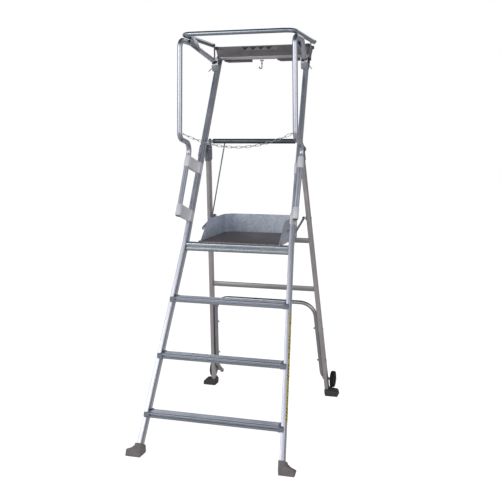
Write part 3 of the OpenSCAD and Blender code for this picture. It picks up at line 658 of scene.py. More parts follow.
class Bench:
    """Modelling steps as they are done by hand, each one on a single object."""

    @staticmethod
    def take(piece: bpy.types.Object) -> None:
        """Makes a piece the only one selected and the active one.

        Args:
            piece: The piece.
        """
        Bench.clear()
        piece.select_set(True)
        bpy.context.view_layer.objects.active = piece

    @staticmethod
    def edit(piece: bpy.types.Object, everything: bool = True) -> None:
        """Opens a piece in edit mode.

        Args:
            piece: The piece.
            everything: Whether all of it is selected, or none.
        """
        Bench.take(piece)
        bpy.ops.object.mode_set(mode="EDIT")
        bpy.ops.mesh.select_all(action="SELECT" if everything else "DESELECT")

    @staticmethod
    def close() -> None:
        """Leaves edit mode."""
        bpy.ops.object.mode_set(mode="OBJECT")

    @staticmethod
    def named(piece: bpy.types.Object, name: str) -> bpy.types.Object:
        """Gives a new primitive its name.

        Args:
            piece: The new primitive.
            name: Its name.

        Returns:
            The same piece.
        """
        piece.name = name
        piece.data.name = name
        return piece

    @staticmethod
    def ring(name: str, points: Outline, place: Matrix, filled: bool) -> bpy.types.Object:
        """A closed outline, as a circle whose points are moved to their places.

        Args:
            name: The piece's name.
            points: The outline in millimetres, seen against its own Z.
            place: Where the outline lies, in metres.
            filled: Whether it has a face.

        Returns:
            The outline as an object at the origin.
        """
        Bench.clear()
        fill = "NGON" if filled else "NOTHING"
        bpy.ops.mesh.primitive_circle_add(vertices=len(points), radius=1.0, fill_type=fill)
        piece = Bench.named(bpy.context.object, name)
        for vertex, (x, y) in zip(piece.data.vertices, points):
            vertex.co = place @ Vector((x * MM, y * MM, 0))
        return piece

    @staticmethod
    def clear() -> None:
        """Selects nothing, in object mode."""
        if bpy.context.mode != "OBJECT":
            bpy.ops.object.mode_set(mode="OBJECT")
        bpy.ops.object.select_all(action="DESELECT")

    @staticmethod
    def outward(piece: bpy.types.Object) -> None:
        """Merges doubled points and turns all faces outwards.

        Args:
            piece: The piece.
        """
        Bench.edit(piece)
        bpy.ops.mesh.remove_doubles(threshold=MERGE)
        bpy.ops.mesh.select_all(action="SELECT")
        bpy.ops.mesh.normals_make_consistent(inside=False)
        Bench.close()

    @staticmethod
    def rounded(piece: bpy.types.Object, edge: float, angle: float = 35.0) -> None:
        """Rounds the sharp edges.

        Args:
            piece: The piece.
            edge: Width of the rounding, in millimetres.
            angle: Edges sharper than this many degrees are rounded.
        """
        Bench.take(piece)
        bpy.ops.object.modifier_add(type="BEVEL")
        bevel = piece.modifiers[-1]
        bevel.width = edge * MM
        bevel.segments = 2
        bevel.limit_method = "ANGLE"
        bevel.angle_limit = math.radians(angle)
        bevel.use_clamp_overlap = True
        bevel.harden_normals = False
        bpy.ops.object.modifier_apply(modifier=bevel.name)

    @staticmethod
    def smooth(piece: bpy.types.Object, angle: float = 32.0) -> None:
        """Shades a piece smooth except across edges sharper than an angle."""
        Bench.take(piece)
        bpy.ops.object.shade_smooth_by_angle(angle=math.radians(angle))

    @staticmethod
    def prism(
        name: str, points: Outline, place: Matrix, runs: list[Vector], edge: float = 0.0
    ) -> bpy.types.Object:
        """An outline drawn out along one or more straight runs.

        Args:
            name: The piece's name.
            points: The outline in millimetres.
            place: Where the outline starts, in metres.
            runs: The runs, one after another, in metres.
            edge: Width of the rounding of its edges in millimetres, or 0.

        Returns:
            The finished, closed piece.
        """
        piece = Bench.ring(name, points, place, True)
        Bench.edit(piece)
        for run in runs:
            bpy.ops.mesh.extrude_region_move(TRANSFORM_OT_translate={"value": run})
        Bench.close()
        Bench.outward(piece)
        if edge:
            Bench.rounded(piece, edge)
        Bench.smooth(piece)
        return piece

    @staticmethod
    def lathed(name: str, points: Outline, centre: Vector, steps: int = 64) -> bpy.types.Object:
        """An outline of radius and X spun about an axle along X.

        Args:
            name: The piece's name.
            points: Places as radius and distance along the axle, in millimetres.
            centre: The axle's middle, in metres.
            steps: How many faces go round.

        Returns:
            The closed piece.
        """
        upright = Matrix(((0, 1, 0, 0), (0, 0, 1, 0), (1, 0, 0, 0), (0, 0, 0, 1)))
        place = Matrix.Translation(centre) @ upright
        piece = Bench.ring(name, points, place, False)
        Bench.edit(piece)
        bpy.ops.mesh.spin(steps=steps, angle=2 * math.pi, center=centre, axis=(1, 0, 0))
        Bench.close()
        Bench.outward(piece)
        Bench.smooth(piece)
        return piece

    @staticmethod
    def mirrored(piece: bpy.types.Object, name: str) -> bpy.types.Object:
        """A copy of a piece on the other side of the ladder, with its own mesh.

        Args:
            piece: The piece on the right.
            name: The copy's name.

        Returns:
            The copy on the left.
        """
        twin = bpy.data.objects.new(name, piece.data.copy())
        bpy.context.scene.collection.objects.link(twin)
        twin.data.name = name
        twin.data.transform(Matrix.Diagonal((-1, 1, 1, 1)))
        Bench.edit(twin)
        bpy.ops.mesh.flip_normals()
        Bench.close()
        return twin

    @staticmethod
    def joined(pieces: list[bpy.types.Object], name: str) -> bpy.types.Object:
        """Several pieces joined into one.

        Args:
            pieces: The pieces; the first takes up the others.
            name: The name of the whole.

        Returns:
            The joined piece.
        """
        Bench.take(pieces[0])
        for piece in pieces[1:]:
            piece.select_set(True)
        bpy.ops.object.join()
        return Bench.named(pieces[0], name)

    @staticmethod
    def cut_off(piece: bpy.types.Object, point: Vector, normal: Vector) -> None:
        """Cuts away what lies beyond a plane, and closes the cut.

        Args:
            piece: The piece.
            point: A place on the plane, in metres.
            normal: The side that is cut away.
        """
        Bench.edit(piece)
        bpy.ops.mesh.bisect(plane_co=point, plane_no=normal, clear_outer=True, use_fill=True)
        Bench.close()

    @staticmethod
    def hollow(piece: bpy.types.Object, wall: float, depth: float, corners: int = 12) -> None:
        """Sinks each end face behind a rim.

        Args:
            piece: The piece.
            wall: Thickness of the rim in millimetres.
            depth: Depth of the hollow in millimetres.
            corners: A face with more corners than this is an end.
        """
        Bench.edit(piece, False)
        bpy.ops.mesh.select_mode(type="FACE")
        bpy.ops.object.mode_set(mode="OBJECT")
        for face in piece.data.polygons:
            face.select = len(face.vertices) > corners
        bpy.ops.object.mode_set(mode="EDIT")
        bpy.ops.mesh.inset(thickness=wall * MM, depth=0)
        bpy.ops.mesh.inset(thickness=0.00001, depth=-depth * MM)
        Bench.close()

    @staticmethod
    def refit(node: str, edge: float) -> bpy.types.Object:
        """A copy of a CAD node with its triangles merged and its sharp edges rounded.

        Args:
            node: The CAD node.
            edge: Width of the rounding in millimetres, or 0.

        Returns:
            The finished piece.
        """
        piece = bpy.data.objects.new(f"{node}_made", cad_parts[node].data.copy())
        bpy.context.scene.collection.objects.link(piece)
        piece.data.name = piece.name
        piece.data.materials.clear()
        Bench.edit(piece)
        bpy.ops.mesh.remove_doubles(threshold=MERGE)
        bpy.ops.mesh.dissolve_limited(angle_limit=math.radians(0.4))
        bpy.ops.mesh.delete_loose()
        Bench.close()
        Bench.clear_sharp(piece)
        if edge:
            Bench.rounded(piece, edge)
        Bench.smooth(piece)
        return piece

    @staticmethod
    def clear_sharp(piece: bpy.types.Object) -> None:
        """Takes off split normals that came with a CAD mesh.

        Args:
            piece: The piece.
        """
        Bench.take(piece)
        if piece.data.has_custom_normals:
            bpy.ops.mesh.customdata_custom_splitnormals_clear()


class TubePath:
    """A bent tube, drawn ring by ring along straight runs and bends."""

    def __init__(self, name: str, start: Matrix, dia: float, sides: int = 40) -> None:
        """Sets the first ring.

        Args:
            name: The tube's name.
            start: The place and heading of its start in millimetres, heading along Z.
            dia: Its outer diameter in millimetres.
            sides: How many faces go round it.
        """
        self.here = start
        turns = [2 * math.pi * k / sides for k in range(sides)]
        points = [(dia / 2 * math.cos(turn), dia / 2 * math.sin(turn)) for turn in turns]
        self.tube = Bench.ring(name, points, TubePath.metres(start), False)
        self.dia = dia

    @staticmethod
    def metres(place: Matrix) -> Matrix:
        """A place in millimetres of the plan as one in metres of the frame.

        Args:
            place: The place in the plan.

        Returns:
            The place in the frame.
        """
        moved = place.copy()
        moved.translation = PLAN.at(*place.translation)
        return moved

    def run(self, length: float) -> "TubePath":
        """Draws a straight run of that length in millimetres.

        Args:
            length: The length.

        Returns:
            The tube itself.
        """
        Bench.edit(self.tube, False)
        self.pick_end()
        ahead = self.here.to_3x3() @ Vector((0, 0, length)) * MM
        bpy.ops.mesh.extrude_region_move(TRANSFORM_OT_translate={"value": ahead})
        Bench.close()
        self.here = self.here @ Matrix.Translation((0, 0, length))
        return self

    def bend(self, about: float, radius: float, angle: float) -> "TubePath":
        """Draws a bend.

        Args:
            about: How far the bend's side is turned about the heading, in degrees.
            radius: Its radius in millimetres.
            angle: Its angle in degrees.

        Returns:
            The tube itself.
        """
        turned = self.here @ Matrix.Rotation(math.radians(about), 4, "Z")
        centre = PLAN.at(*(turned @ Vector((0, radius, 0))))
        axis = turned.to_3x3() @ Vector((-1, 0, 0))
        a = math.radians(angle)
        Bench.edit(self.tube, False)
        self.pick_end()
        steps = max(3, round(angle / 4.5))
        bpy.ops.mesh.spin(steps=steps, angle=SPIN_SIGN * a, center=centre, axis=axis)
        Bench.close()
        reach = Matrix.Translation((0, radius - radius * math.cos(a), radius * math.sin(a)))
        step = reach @ Matrix.Rotation(-a, 4, "X")
        self.here = turned @ step @ Matrix.Rotation(math.radians(-about), 4, "Z")
        return self

    def pick_end(self) -> None:
        """Selects the last ring, in edit mode."""
        bpy.ops.object.mode_set(mode="OBJECT")
        centre = PLAN.at(*self.here.translation)
        ahead = self.here.to_3x3() @ Vector((0, 0, 1))
        for vertex in self.tube.data.vertices:
            off = vertex.co - centre
            vertex.select = abs(off.dot(ahead)) < 0.0001 and off.length < self.dia * 0.6 * MM
        bpy.ops.object.mode_set(mode="EDIT")
        bpy.ops.mesh.select_mode(type="VERT")

    def finished(self, wall: float = 2.0, depth: float = 18.0) -> bpy.types.Object:
        """Closes both ends, each with a rim and a hollow.

        Args:
            wall: Thickness of the rim in millimetres.
            depth: Depth of the hollow in millimetres.

        Returns:
            The finished tube.
        """
        Bench.edit(self.tube)
        bpy.ops.mesh.remove_doubles(threshold=MERGE)
        bpy.ops.mesh.select_all(action="DESELECT")
        bpy.ops.mesh.select_mode(type="EDGE")
        bpy.ops.mesh.select_non_manifold(extend=False)
        bpy.ops.mesh.fill_holes(sides=0)
        Bench.close()
        Bench.outward(self.tube)
        Bench.hollow(self.tube, wall, depth)
        Bench.smooth(self.tube)
        return self.tube


# ---------------------------------------------------------------- sub-assemblies


Finish = DrawnMetal | SpangledSheet | Moulded | HatchedFilm | DeckFilm


class Workshop:
    """What the sub-assemblies share: made materials, and a piece's fitting to the frame."""

    made: dict[str, bpy.types.Material] = {}

    @classmethod
    def stuff(cls, finish: Finish) -> bpy.types.Material:
        """The material of a finish, made once.

        Args:
            finish: The finish.

        Returns:
            Its material.
        """
        if finish.name not in cls.made:
            cls.made[finish.name] = finish.material()
        return cls.made[finish.name]

    @classmethod
    def fit(
        cls, piece: bpy.types.Object, body: str, finish: Finish, slot: str, *nodes: str
    ) -> None:
        """Dresses a piece and fixes it to its body.

        Args:
            piece: The piece.
            body: The body that it rides on.
            finish: What it is made of.
            slot: The record's material slot; not used.
            nodes: The CAD nodes that it stands for.
        """
        piece.data.materials.clear()
        piece.data.materials.append(cls.stuff(finish))
        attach(piece, body)
        if nodes:
            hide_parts(*nodes)
        log.info("made %s on %s, %d faces", piece.name, body, len(piece.data.polygons))

    @classmethod
    def refit(cls, node: str, body: str, finish: Finish, slot: str, edge: float = 0.6) -> None:
        """Rounds the edges of a CAD node's copy and fits it in its place.

        Args:
            node: The CAD node.
            body: The body that it rides on.
            finish: What it is made of.
            slot: The record's material slot; not used.
            edge: Width of the rounding, in millimetres.
        """
        cls.fit(Bench.refit(node, edge), body, finish, slot, node)


def arc(
    cx: float, cy: float, radius: float, start: float, end: float, steps: int = 4
) -> Outline:
    """Points along an arc.

    Args:
        cx: The centre's first coordinate.
        cy: The centre's second coordinate.
        radius: The arc's radius.
        start: Angle of the first point, in degrees.
        end: Angle of the last point, in degrees.
        steps: How many straight pieces it has.

    Returns:
        The points, in order.
    """
    turns = [math.radians(start + (end - start) * k / steps) for k in range(steps + 1)]
    return [(cx + radius * math.cos(turn), cy + radius * math.sin(turn)) for turn in turns]


def rounded_box(
    half_w: float, half_d: float, radius: float, groove: float = 0.0, depth: float = 0.0
) -> Outline:
    """A box section with round corners.

    Args:
        half_w: Half its width.
        half_d: Half its depth.
        radius: Radius of its corners.
        groove: Half the width of a channel along both deep sides, or 0.
        depth: Depth of that channel.

    Returns:
        The outline, anticlockwise.
    """
    w, d = half_w - radius, half_d - radius
    floor = half_w - depth
    right: Outline = []
    if groove:
        lower = [(half_w, -groove - depth), (floor, -groove)]
        right = lower + [(x, -y) for x, y in reversed(lower)]
    left = [(-x, -y) for x, y in right]
    right_side = arc(w, -d, radius, -90, 0) + right + arc(w, d, radius, 0, 90)
    return right_side + arc(-w, d, radius, 90, 180) + left + arc(-w, -d, radius, 180, 270)


def along(x: float, y: float, z: float) -> Matrix:
    """A place whose outline lies across X, with the outline's X going back and its Y going up.

    Args:
        x: Distance from the ladder's middle, in millimetres.
        y: Distance back from the front feet, in millimetres.
        z: Height in millimetres.

    Returns:
        The place in the frame.
    """
    place = ACROSS.copy()
    place.translation = PLAN.at(x, y, z)
    return place


def axis_place(start: Vector, end: Vector) -> Matrix:
    """A place at the start, heading for the end, whose outline's X stays near the ladder's X.

    Args:
        start: The start, in metres.
        end: The end, in metres.

    Returns:
        The place in the frame.
    """
    ahead = (end - start).normalized()
    across = Vector((1, 0, 0)) - ahead * ahead.x
    across.normalize()
    back = ahead.cross(across)
    place = Matrix((across, back, ahead)).transposed().to_4x4()
    place.translation = start
    return place


@dataclass
class ClimbingFrame(Workshop):
    """The front frame: stiles, treads with their end caps, beam and feet.

    Attributes:
        body: The body that it rides on.
        corner: Radius of the stiles' corners.
        channel_half: Half the width of the channel along a stile's sides.
        channel_depth: Depth of that channel.
        rib_pitch: Distance from one rib of a tread to the next.
        foot_gap: How far along its line a stile starts, inside its foot.
        treads: The treads' nodes, from the lowest.
    """

    body: str = "front_frame"
    corner: float = 3.2
    channel_half: float = 8.5
    channel_depth: float = 1.3
    rib_pitch: float = 2.9
    foot_gap: float = 20.0
    treads: tuple[str, ...] = ("lower_tread", "middle_tread", "upper_tread")

    def build(self) -> None:
        """Makes all pieces of the front frame."""
        self.stiles()
        for number, node in enumerate(self.treads):
            self.tread(PLAN.first_rise + number * PLAN.tread_rise, node)
        self.refit("tread_end_caps", self.body, SLATE, "slate_plastic", 1.4)
        self.beam()
        for side in Side:
            self.refit(f"{side.word}_front_foot", self.body, FOOT_FRONT, "grey_rubber", 2.6)
        self.refit("hazard_strip", self.body, HATCH, "hazard_film", 0.15)
        self.refit("platform_lugs", self.body, MILL, "mill_aluminium", 0.8)

    def stiles(self) -> None:
        """Draws the right stile out along its kinked line, and mirrors it."""
        heights = (0.0, PLAN.platform_h, PLAN.top_h)
        floor, kink, top = (Vector((PLAN.stile_x(z), PLAN.stile_y(z), z)) for z in heights)
        start = floor + (kink - floor).normalized() * self.foot_gap
        low, middle, high = (PLAN.at(*spot) for spot in (start, kink, top))
        width, depth = PLAN.stile_w / 2, PLAN.stile_d / 2
        outline = rounded_box(width, depth, self.corner, self.channel_half, self.channel_depth)
        runs = [middle - low, high - middle]
        right = Bench.prism("right_stile_made", outline, axis_place(low, middle), runs)
        Bench.hollow(right, 2.0, 12.0, 24)
        Bench.smooth(right)
        left = Bench.mirrored(right, "left_stile_made")
        self.fit(right, self.body, STILE, "stile_aluminium", "right_stile")
        self.fit(left, self.body, STILE, "stile_aluminium", "left_stile")

    def tread_outline(self) -> Outline:
        """The section of a tread: ribbed top in three bands, rounded nose, groove and lower lip.

        Returns:
            The outline in millimetres, anticlockwise.
        """
        depth, thick, pitch = PLAN.tread_d, PLAN.tread_t, self.rib_pitch
        corner, inner = 2.0, depth - 3
        top: Outline = []
        for start, end in ((54.0, 40.5), (37.5, 24.0), (21.0, 9.0)):
            y = start
            top.append((y, 0.0))
            while y - pitch > end:
                middle = y - pitch / 2
                top += [(y - 0.5, -1.3), (middle, -1.3)]
                top += [(middle - 0.4, -0.45), (y - pitch + 0.1, -0.45)]
                y -= pitch
            top.append((end, 0.0))
        groove = [(0.0, -6.0), (0.8, -6.8), (11.0, -7.0), (11.0, -12.8), (0.8, -13.0), (0.0, -13.8)]
        nose = [(3.4, 0.0)] + arc(2.6, -2.6, 2.6, 90, 180, 4)[1:] + groove
        back = [(depth, -14.0), (inner, -13.4), (inner, -10.4), (depth, -9.8)]
        low = arc(corner, -thick + corner, corner, 180, 270, 3)
        low += arc(depth - corner, -thick + corner, corner, 270, 360, 3) + back
        return low + arc(depth - corner, -corner, corner, 0, 90, 3) + top + nose

    def tread(self, z: float, node: str) -> None:
        """Draws a tread out from cap to cap.

        Args:
            z: Height of its top.
            node: The CAD node that it stands for.
        """
        half = PLAN.stile_x(z) - PLAN.stile_w / 2 - 9.5
        place = along(-half, PLAN.stile_y(z) - 38, z)
        run = Vector((2 * half * MM, 0, 0))
        piece = Bench.prism(f"{node}_made", self.tread_outline(), place, [run])
        self.fit(piece, self.body, TREAD, "tread_aluminium", node)

    def beam(self) -> None:
        """Draws the platform's front beam with its two round lobes, and trims it at the stiles."""
        high, deep = PLAN.beam_h, PLAN.beam_d
        half = PLAN.kink_half - PLAN.stile_w / 2 - 0.5
        back = [(deep - 1, 0), (deep, 1), (deep, high - 1), (deep - 1, high)]
        upper = arc(6.5, high - 6.5, 6.5, 90, 180, 6) + [(0.0, high - 13.5)]
        upper += arc(2.5, high - 14.5, 2.5, 180, 250, 3) + [(7.5, high - 17.6)]
        lower = [(7.5, high - 23.4)] + arc(2.5, high - 26.5, 2.5, 110, 180, 3)
        lower += [(0.0, 9.0)] + arc(7.5, 7.5, 7.5, 180, 262, 5)
        place = along(-half, PLAN.stile_y(PLAN.platform_h) - 25, PLAN.platform_h - high)
        run = Vector((2 * half * MM, 0, 0))
        piece = Bench.prism("front_beam_made", back + upper + lower, place, [run])
        self.fit(piece, self.body, BEAM, "beam_aluminium", "front_beam")


@dataclass
class Guard(Workshop):
    """The guard round the platform: bent tubes, clamps, brackets, catches, locks and chain.

    Attributes:
        body: The body that it rides on.
        tilt: How far the posts lean in towards their tops, in degrees.
        start_rise: Height of a tube's lower end above the platform.
        jog_rise: Height above the platform where a tube turns forward.
        jog_climb: How far the jog's middle run climbs, in degrees.
        chain_rise: Height of the chain's ends above the platform.
        jog_r: Radius of the jog's lower bend.
        post_r: Radius of the jog's upper bend.
        top_r: Radius of the bend at the top.
        top_run: Length of the top run.
        diagonal_r: Radius of the bend into the diagonal.
        links: How many links the chain has.
        sag: How far the chain hangs down.
    """

    body: str = "front_frame"
    tilt: float = 0.94
    start_rise: float = 132.0
    jog_rise: float = 431.0
    jog_climb: float = 10.0
    chain_rise: float = 531.0
    jog_r: float = 45.0
    post_r: float = 40.0
    top_r: float = 40.0
    top_run: float = 130.0
    diagonal_r: float = 60.0
    links: int = 22
    sag: float = 61.0

    def build(self) -> None:
        """Makes all pieces of the guard."""
        right = self.tube()
        left = Bench.mirrored(right, "left_guard_tube_made")
        self.fit(right, self.body, GUARD, "guard_aluminium", "right_guard_tube")
        self.fit(left, self.body, GUARD, "guard_aluminium", "left_guard_tube")
        for side in Side:
            self.refit(f"{side.word}_clamps", self.body, CLAMP, "clamp_sheet", 1.2)
            self.refit(f"{side.word}_gate_bracket", self.body, ZINC, "dark_steel", 0.7)
            self.refit(f"{side.word}_catch", self.body, ZINC, "zinc_steel", 1.2)
            self.refit(f"{side.word}_gate_strap", self.body, DARK_STEEL, "dark_steel", 0.7)
            self.refit(f"{side.word}_lock_pin", f"{side.word}_lock", BLACK, "black_plastic")
        self.refit("gate_pins", self.body, ZINC, "zinc_steel")
        self.refit("chain_eyes", self.body, ZINC, "zinc_steel", 0.5)
        self.chain()

    def tube(self) -> bpy.types.Object:
        """Bends the right guard tube from the lower clamp up to the catch.

        Returns:
            The finished tube.
        """
        z0, jog_z = PLAN.platform_h + self.start_rise, PLAN.platform_h + self.jog_rise
        lean, climb = math.radians(PLAN.lean), math.radians(self.jog_climb)
        start = Matrix.Translation((PLAN.guard_x(z0), PLAN.stile_y(z0) - PLAN.guard_off, z0))
        start = start @ Matrix.Rotation(math.radians(-self.tilt), 4, "Y")
        start = start @ Matrix.Rotation(-lean, 4, "X")
        jog_dy = self.jog_r * (math.cos(lean) - math.sin(climb)) + self.post_r * (1 - math.sin(climb))
        jog_dz = self.jog_r * (math.sin(lean) + math.cos(climb)) + self.post_r * math.cos(climb)
        jog_reach = PLAN.stile_y(jog_z) - PLAN.guard_off - PLAN.post_y
        jog_run = (jog_reach - jog_dy) / math.cos(climb)
        post_z0 = jog_z + jog_dz + jog_run * math.sin(climb)
        catch_y = PLAN.stile_y(PLAN.catch_z) - PLAN.stile_d / 2 / math.cos(lean) - 19
        dx = PLAN.guard_half - PLAN.stile_x(PLAN.catch_z) - 2
        dy = catch_y - (PLAN.post_y + self.top_r + self.top_run)
        dz = PLAN.guard_top_z - PLAN.catch_z
        about = math.degrees(math.atan2(dx, dz))
        turn = math.degrees(math.atan2(math.hypot(dx, dz), dy))
        quarter = 90 - self.jog_climb
        path = TubePath("right_guard_tube_made", start, PLAN.guard_dia)
        path.run((jog_z - z0) / math.cos(lean)).bend(180, self.jog_r, PLAN.lean + quarter)
        path.run(jog_run).bend(0, self.post_r, quarter)
        path.run(PLAN.guard_top_z - self.top_r - post_z0).bend(0, self.top_r, 90)
        path.run(self.top_run - 30).bend(about, self.diagonal_r, turn)
        path.run(math.hypot(dx, dy, dz) + 8 - 38)
        return path.finished()

    def chain(self) -> None:
        """Hangs the links along the chain's sag, each turned a quarter from the last."""
        z = PLAN.platform_h + self.chain_rise
        half = PLAN.guard_x(z) - PLAN.guard_dia / 2 - 11
        steps = [-1 + 2 * k / self.links for k in range(self.links + 1)]
        spots = [PLAN.at(u * half, PLAN.post_y, z - self.sag * (1 - u * u)) for u in steps]
        links = [self.link(a, b, k) for k, (a, b) in enumerate(zip(spots, spots[1:]))]
        piece = Bench.joined(links, "chain_made")
        Bench.smooth(piece, 60)
        self.fit(piece, self.body, ZINC, "zinc_steel", "chain")

    @staticmethod
    def link(start: Vector, end: Vector, number: int) -> bpy.types.Object:
        """One link between two spots.

        Args:
            start: Where it hangs from.
            end: Where the next one hangs.
            number: Its number, which sets how it is turned.

        Returns:
            The link as an object at the origin.
        """
        Bench.clear()
        bend, wire = 4.9 * MM, 1.35 * MM
        bpy.ops.mesh.primitive_torus_add(
            major_segments=20, minor_segments=8, major_radius=bend, minor_radius=wire
        )
        piece = Bench.named(bpy.context.object, f"link_{number}")
        reach = (end - start).length / 2 - 3.1 * MM
        for vertex in piece.data.vertices:
            if abs(vertex.co.x) > 0.00001:
                vertex.co.x += math.copysign(reach, vertex.co.x)
        heading = (end - start).normalized().to_track_quat("X", "Z").to_matrix().to_4x4()
        turn = heading @ Matrix.Rotation(math.pi / 2 * (number % 2) + 0.25, 4, "X")
        turn.translation = (start + end) / 2
        piece.data.transform(turn)
        return piece


@dataclass
class TrayTop(Workshop):
    """The tool tray on top of the stiles, with its rail, caps and hook.

    Attributes:
        body: The body that it rides on.
        shade_notches: How many dark triangles of painted shade the tray's front has, standing for the
            shadow in its V-notches.
        pad_pitch: Distance from one dark triangle of painted shade to the next.
        first_shade_notch: Place of the first dark triangle across the ladder.
        pad_rise: Height of the dark triangles' points above the stiles' tops.
        pad_stand: How far the dark triangles are drawn out.
    """

    body: str = "front_frame"
    shade_notches: int = 4
    pad_pitch: float = 43.0
    first_shade_notch: float = -88.0
    pad_rise: float = 37.0
    pad_stand: float = 3.8

    def build(self) -> None:
        """Makes all pieces of the tray."""
        self.refit("tool_tray", self.body, TRAY, "tray_plastic", 1.0)
        self.refit("tray_rail", self.body, MILL, "mill_aluminium", 0.8)
        self.corners()
        self.refit("tray_hook", "hanging_hook", BRACKET_STEEL, "dark_steel", 0.0)

    def corners(self) -> None:
        """Rounds the corner caps, and sets a row of dark pointed triangles into the tray's front as
        painted shade for the shadow in its V-notches.
        """
        lean = math.radians(PLAN.lean)
        front = PLAN.stile_y(PLAN.top_h) - PLAN.stile_d / 2 / math.cos(lean) - 2 + 0.6
        points = [(-17.0, 15.0), (-15.0, 12.0), (-1.5, 0.0), (1.5, 0.0), (15.0, 12.0), (17.0, 15.0)]
        upright = Matrix.Rotation(math.pi / 2, 4, "X")
        run = Vector((0, -self.pad_stand * MM, 0))
        pieces = [Bench.refit("tray_corner_caps", 1.6)]
        # Each dark triangle is painted shade: black plastic put where the tray's V-notches show only
        # the shadowed wall behind them.
        for number in range(self.shade_notches):
            across = self.first_shade_notch + self.pad_pitch * number
            spot = PLAN.at(across, front, PLAN.top_h + self.pad_rise)
            place = Matrix.Translation(spot) @ upright
            pieces.append(Bench.prism(f"pad_{number}", points, place, [run], 0.3))
        caps = Bench.joined(pieces, "tray_corner_caps_made")
        self.fit(caps, self.body, BLACK, "black_plastic", "tray_corner_caps")


@dataclass
class ProppingFrame(Workshop):
    """The rear frame: legs, crossbars, wheel arch, feet, brackets, knee rail, rods and links.

    Attributes:
        body: The body that it rides on.
        corner: Radius of the legs' corners.
        tail_r: Radius of the bend from the leg to the wheel.
        tail_turn: Angle of that bend, in degrees.
        tail_past: How far the arch's ends run on past the axle's height.
    """

    body: str = "rear_frame"
    corner: float = 3.5
    tail_r: float = 55.0
    tail_turn: float = 42.0
    tail_past: float = 30.0

    def build(self) -> None:
        """Makes all pieces of the rear frame and its hinge."""
        self.legs()
        self.arch()
        for node in ("lower_crossbar", "upper_crossbar"):
            self.refit(node, self.body, MILL, "mill_aluminium", 1.8)
        self.refit("knee_rail", self.body, RAIL_STEEL, "dark_steel", 1.0)
        self.refit("rail_spigots", self.body, ZINC, "zinc_steel")
        self.refit("stay_rods", self.body, LINK_STEEL, "dark_steel", 0.5)
        for node in ("strut_bolts", "arch_bolts", "wheel_axles"):
            self.refit(node, self.body, ZINC, "zinc_steel")
        self.refit("hinge_pins", "front_frame", ZINC, "zinc_steel", 0.8)
        for side in Side:
            self.refit(f"{side.word}_rear_foot", self.body, FOOT_REAR, "dark_rubber", 2.4)
            self.refit(f"{side.word}_leg_bracket", self.body, BRACKET_STEEL, "dark_steel", 1.2)
            self.refit(f"{side.word}_hinge_plate", "front_frame", DARK_STEEL, "dark_steel", 0.8)
            self.refit(f"{side.word}_strut", f"{side.word}_link", LINK_STEEL, "zinc_steel", 0.7)

    def legs(self) -> None:
        """Draws the right rear leg out, and mirrors it."""
        low, high = (Vector((PLAN.leg_x(z), PLAN.leg_y(z), z)) for z in (0.0, PLAN.hinge_z))
        ahead = (high - low).normalized()
        start, end = PLAN.at(*(low + ahead * 10)), PLAN.at(*(high + ahead * 12))
        outline = rounded_box(PLAN.leg_w / 2, PLAN.leg_d / 2, self.corner)
        right = Bench.prism("right_rear_leg_made", outline, axis_place(start, end), [end - start])
        Bench.hollow(right, 2.0, 12.0, 16)
        Bench.smooth(right)
        left = Bench.mirrored(right, "left_rear_leg_made")
        self.fit(right, self.body, LEG, "leg_aluminium", "right_rear_leg")
        self.fit(left, self.body, LEG, "leg_aluminium", "left_rear_leg")

    def arch(self) -> None:
        """Bends the wheel arch from its crown down both legs to the wheels."""
        rear = math.radians(PLAN.rear)
        leg_in = PLAN.foot_half - PLAN.leg_x(PLAN.hinge_z)
        lean = math.atan(leg_in / PLAN.hinge_z * math.cos(rear))
        inset = PLAN.leg_w / 2 + PLAN.arch_dia / 2 + 0.4
        lost = PLAN.arch_r * (1 - math.sin(lean)) / math.cos(lean)
        crown = PLAN.leg_x(PLAN.arch_z) - inset - lost
        slope = rear + math.radians(self.tail_turn)
        tail_dy = self.tail_r * (math.cos(rear) - math.cos(slope))
        tail_dz = self.tail_r * (math.sin(slope) - math.sin(rear))
        back = PLAN.wheel_y - PLAN.leg_y(0) - tail_dy
        rise = math.tan(slope) * (tail_dz + PLAN.wheel_z)
        low = (back + rise) / (math.tan(slope) - math.tan(rear))
        tail = (low - tail_dz - PLAN.wheel_z) / math.cos(slope)
        leg_run = (PLAN.arch_z - low) / math.cos(rear) / math.cos(lean) - lost
        start = Matrix.Translation((0, PLAN.leg_y(PLAN.arch_z), PLAN.arch_z))
        start = start @ Matrix.Rotation(rear, 4, "X") @ Matrix.Rotation(math.pi / 2, 4, "Y")
        path = TubePath("wheel_arch_half", start, PLAN.arch_dia)
        path.run(crown).bend(-90, PLAN.arch_r, 90 - math.degrees(lean)).run(leg_run)
        path.bend(0, self.tail_r, self.tail_turn).run(tail + self.tail_past)
        left = Bench.mirrored(path.tube, "wheel_arch_other_half")
        path.tube = Bench.joined([path.tube, left], "wheel_arch_made")
        self.fit(path.finished(), self.body, ARCH_TUBE, "zinc_steel", "wheel_arch")


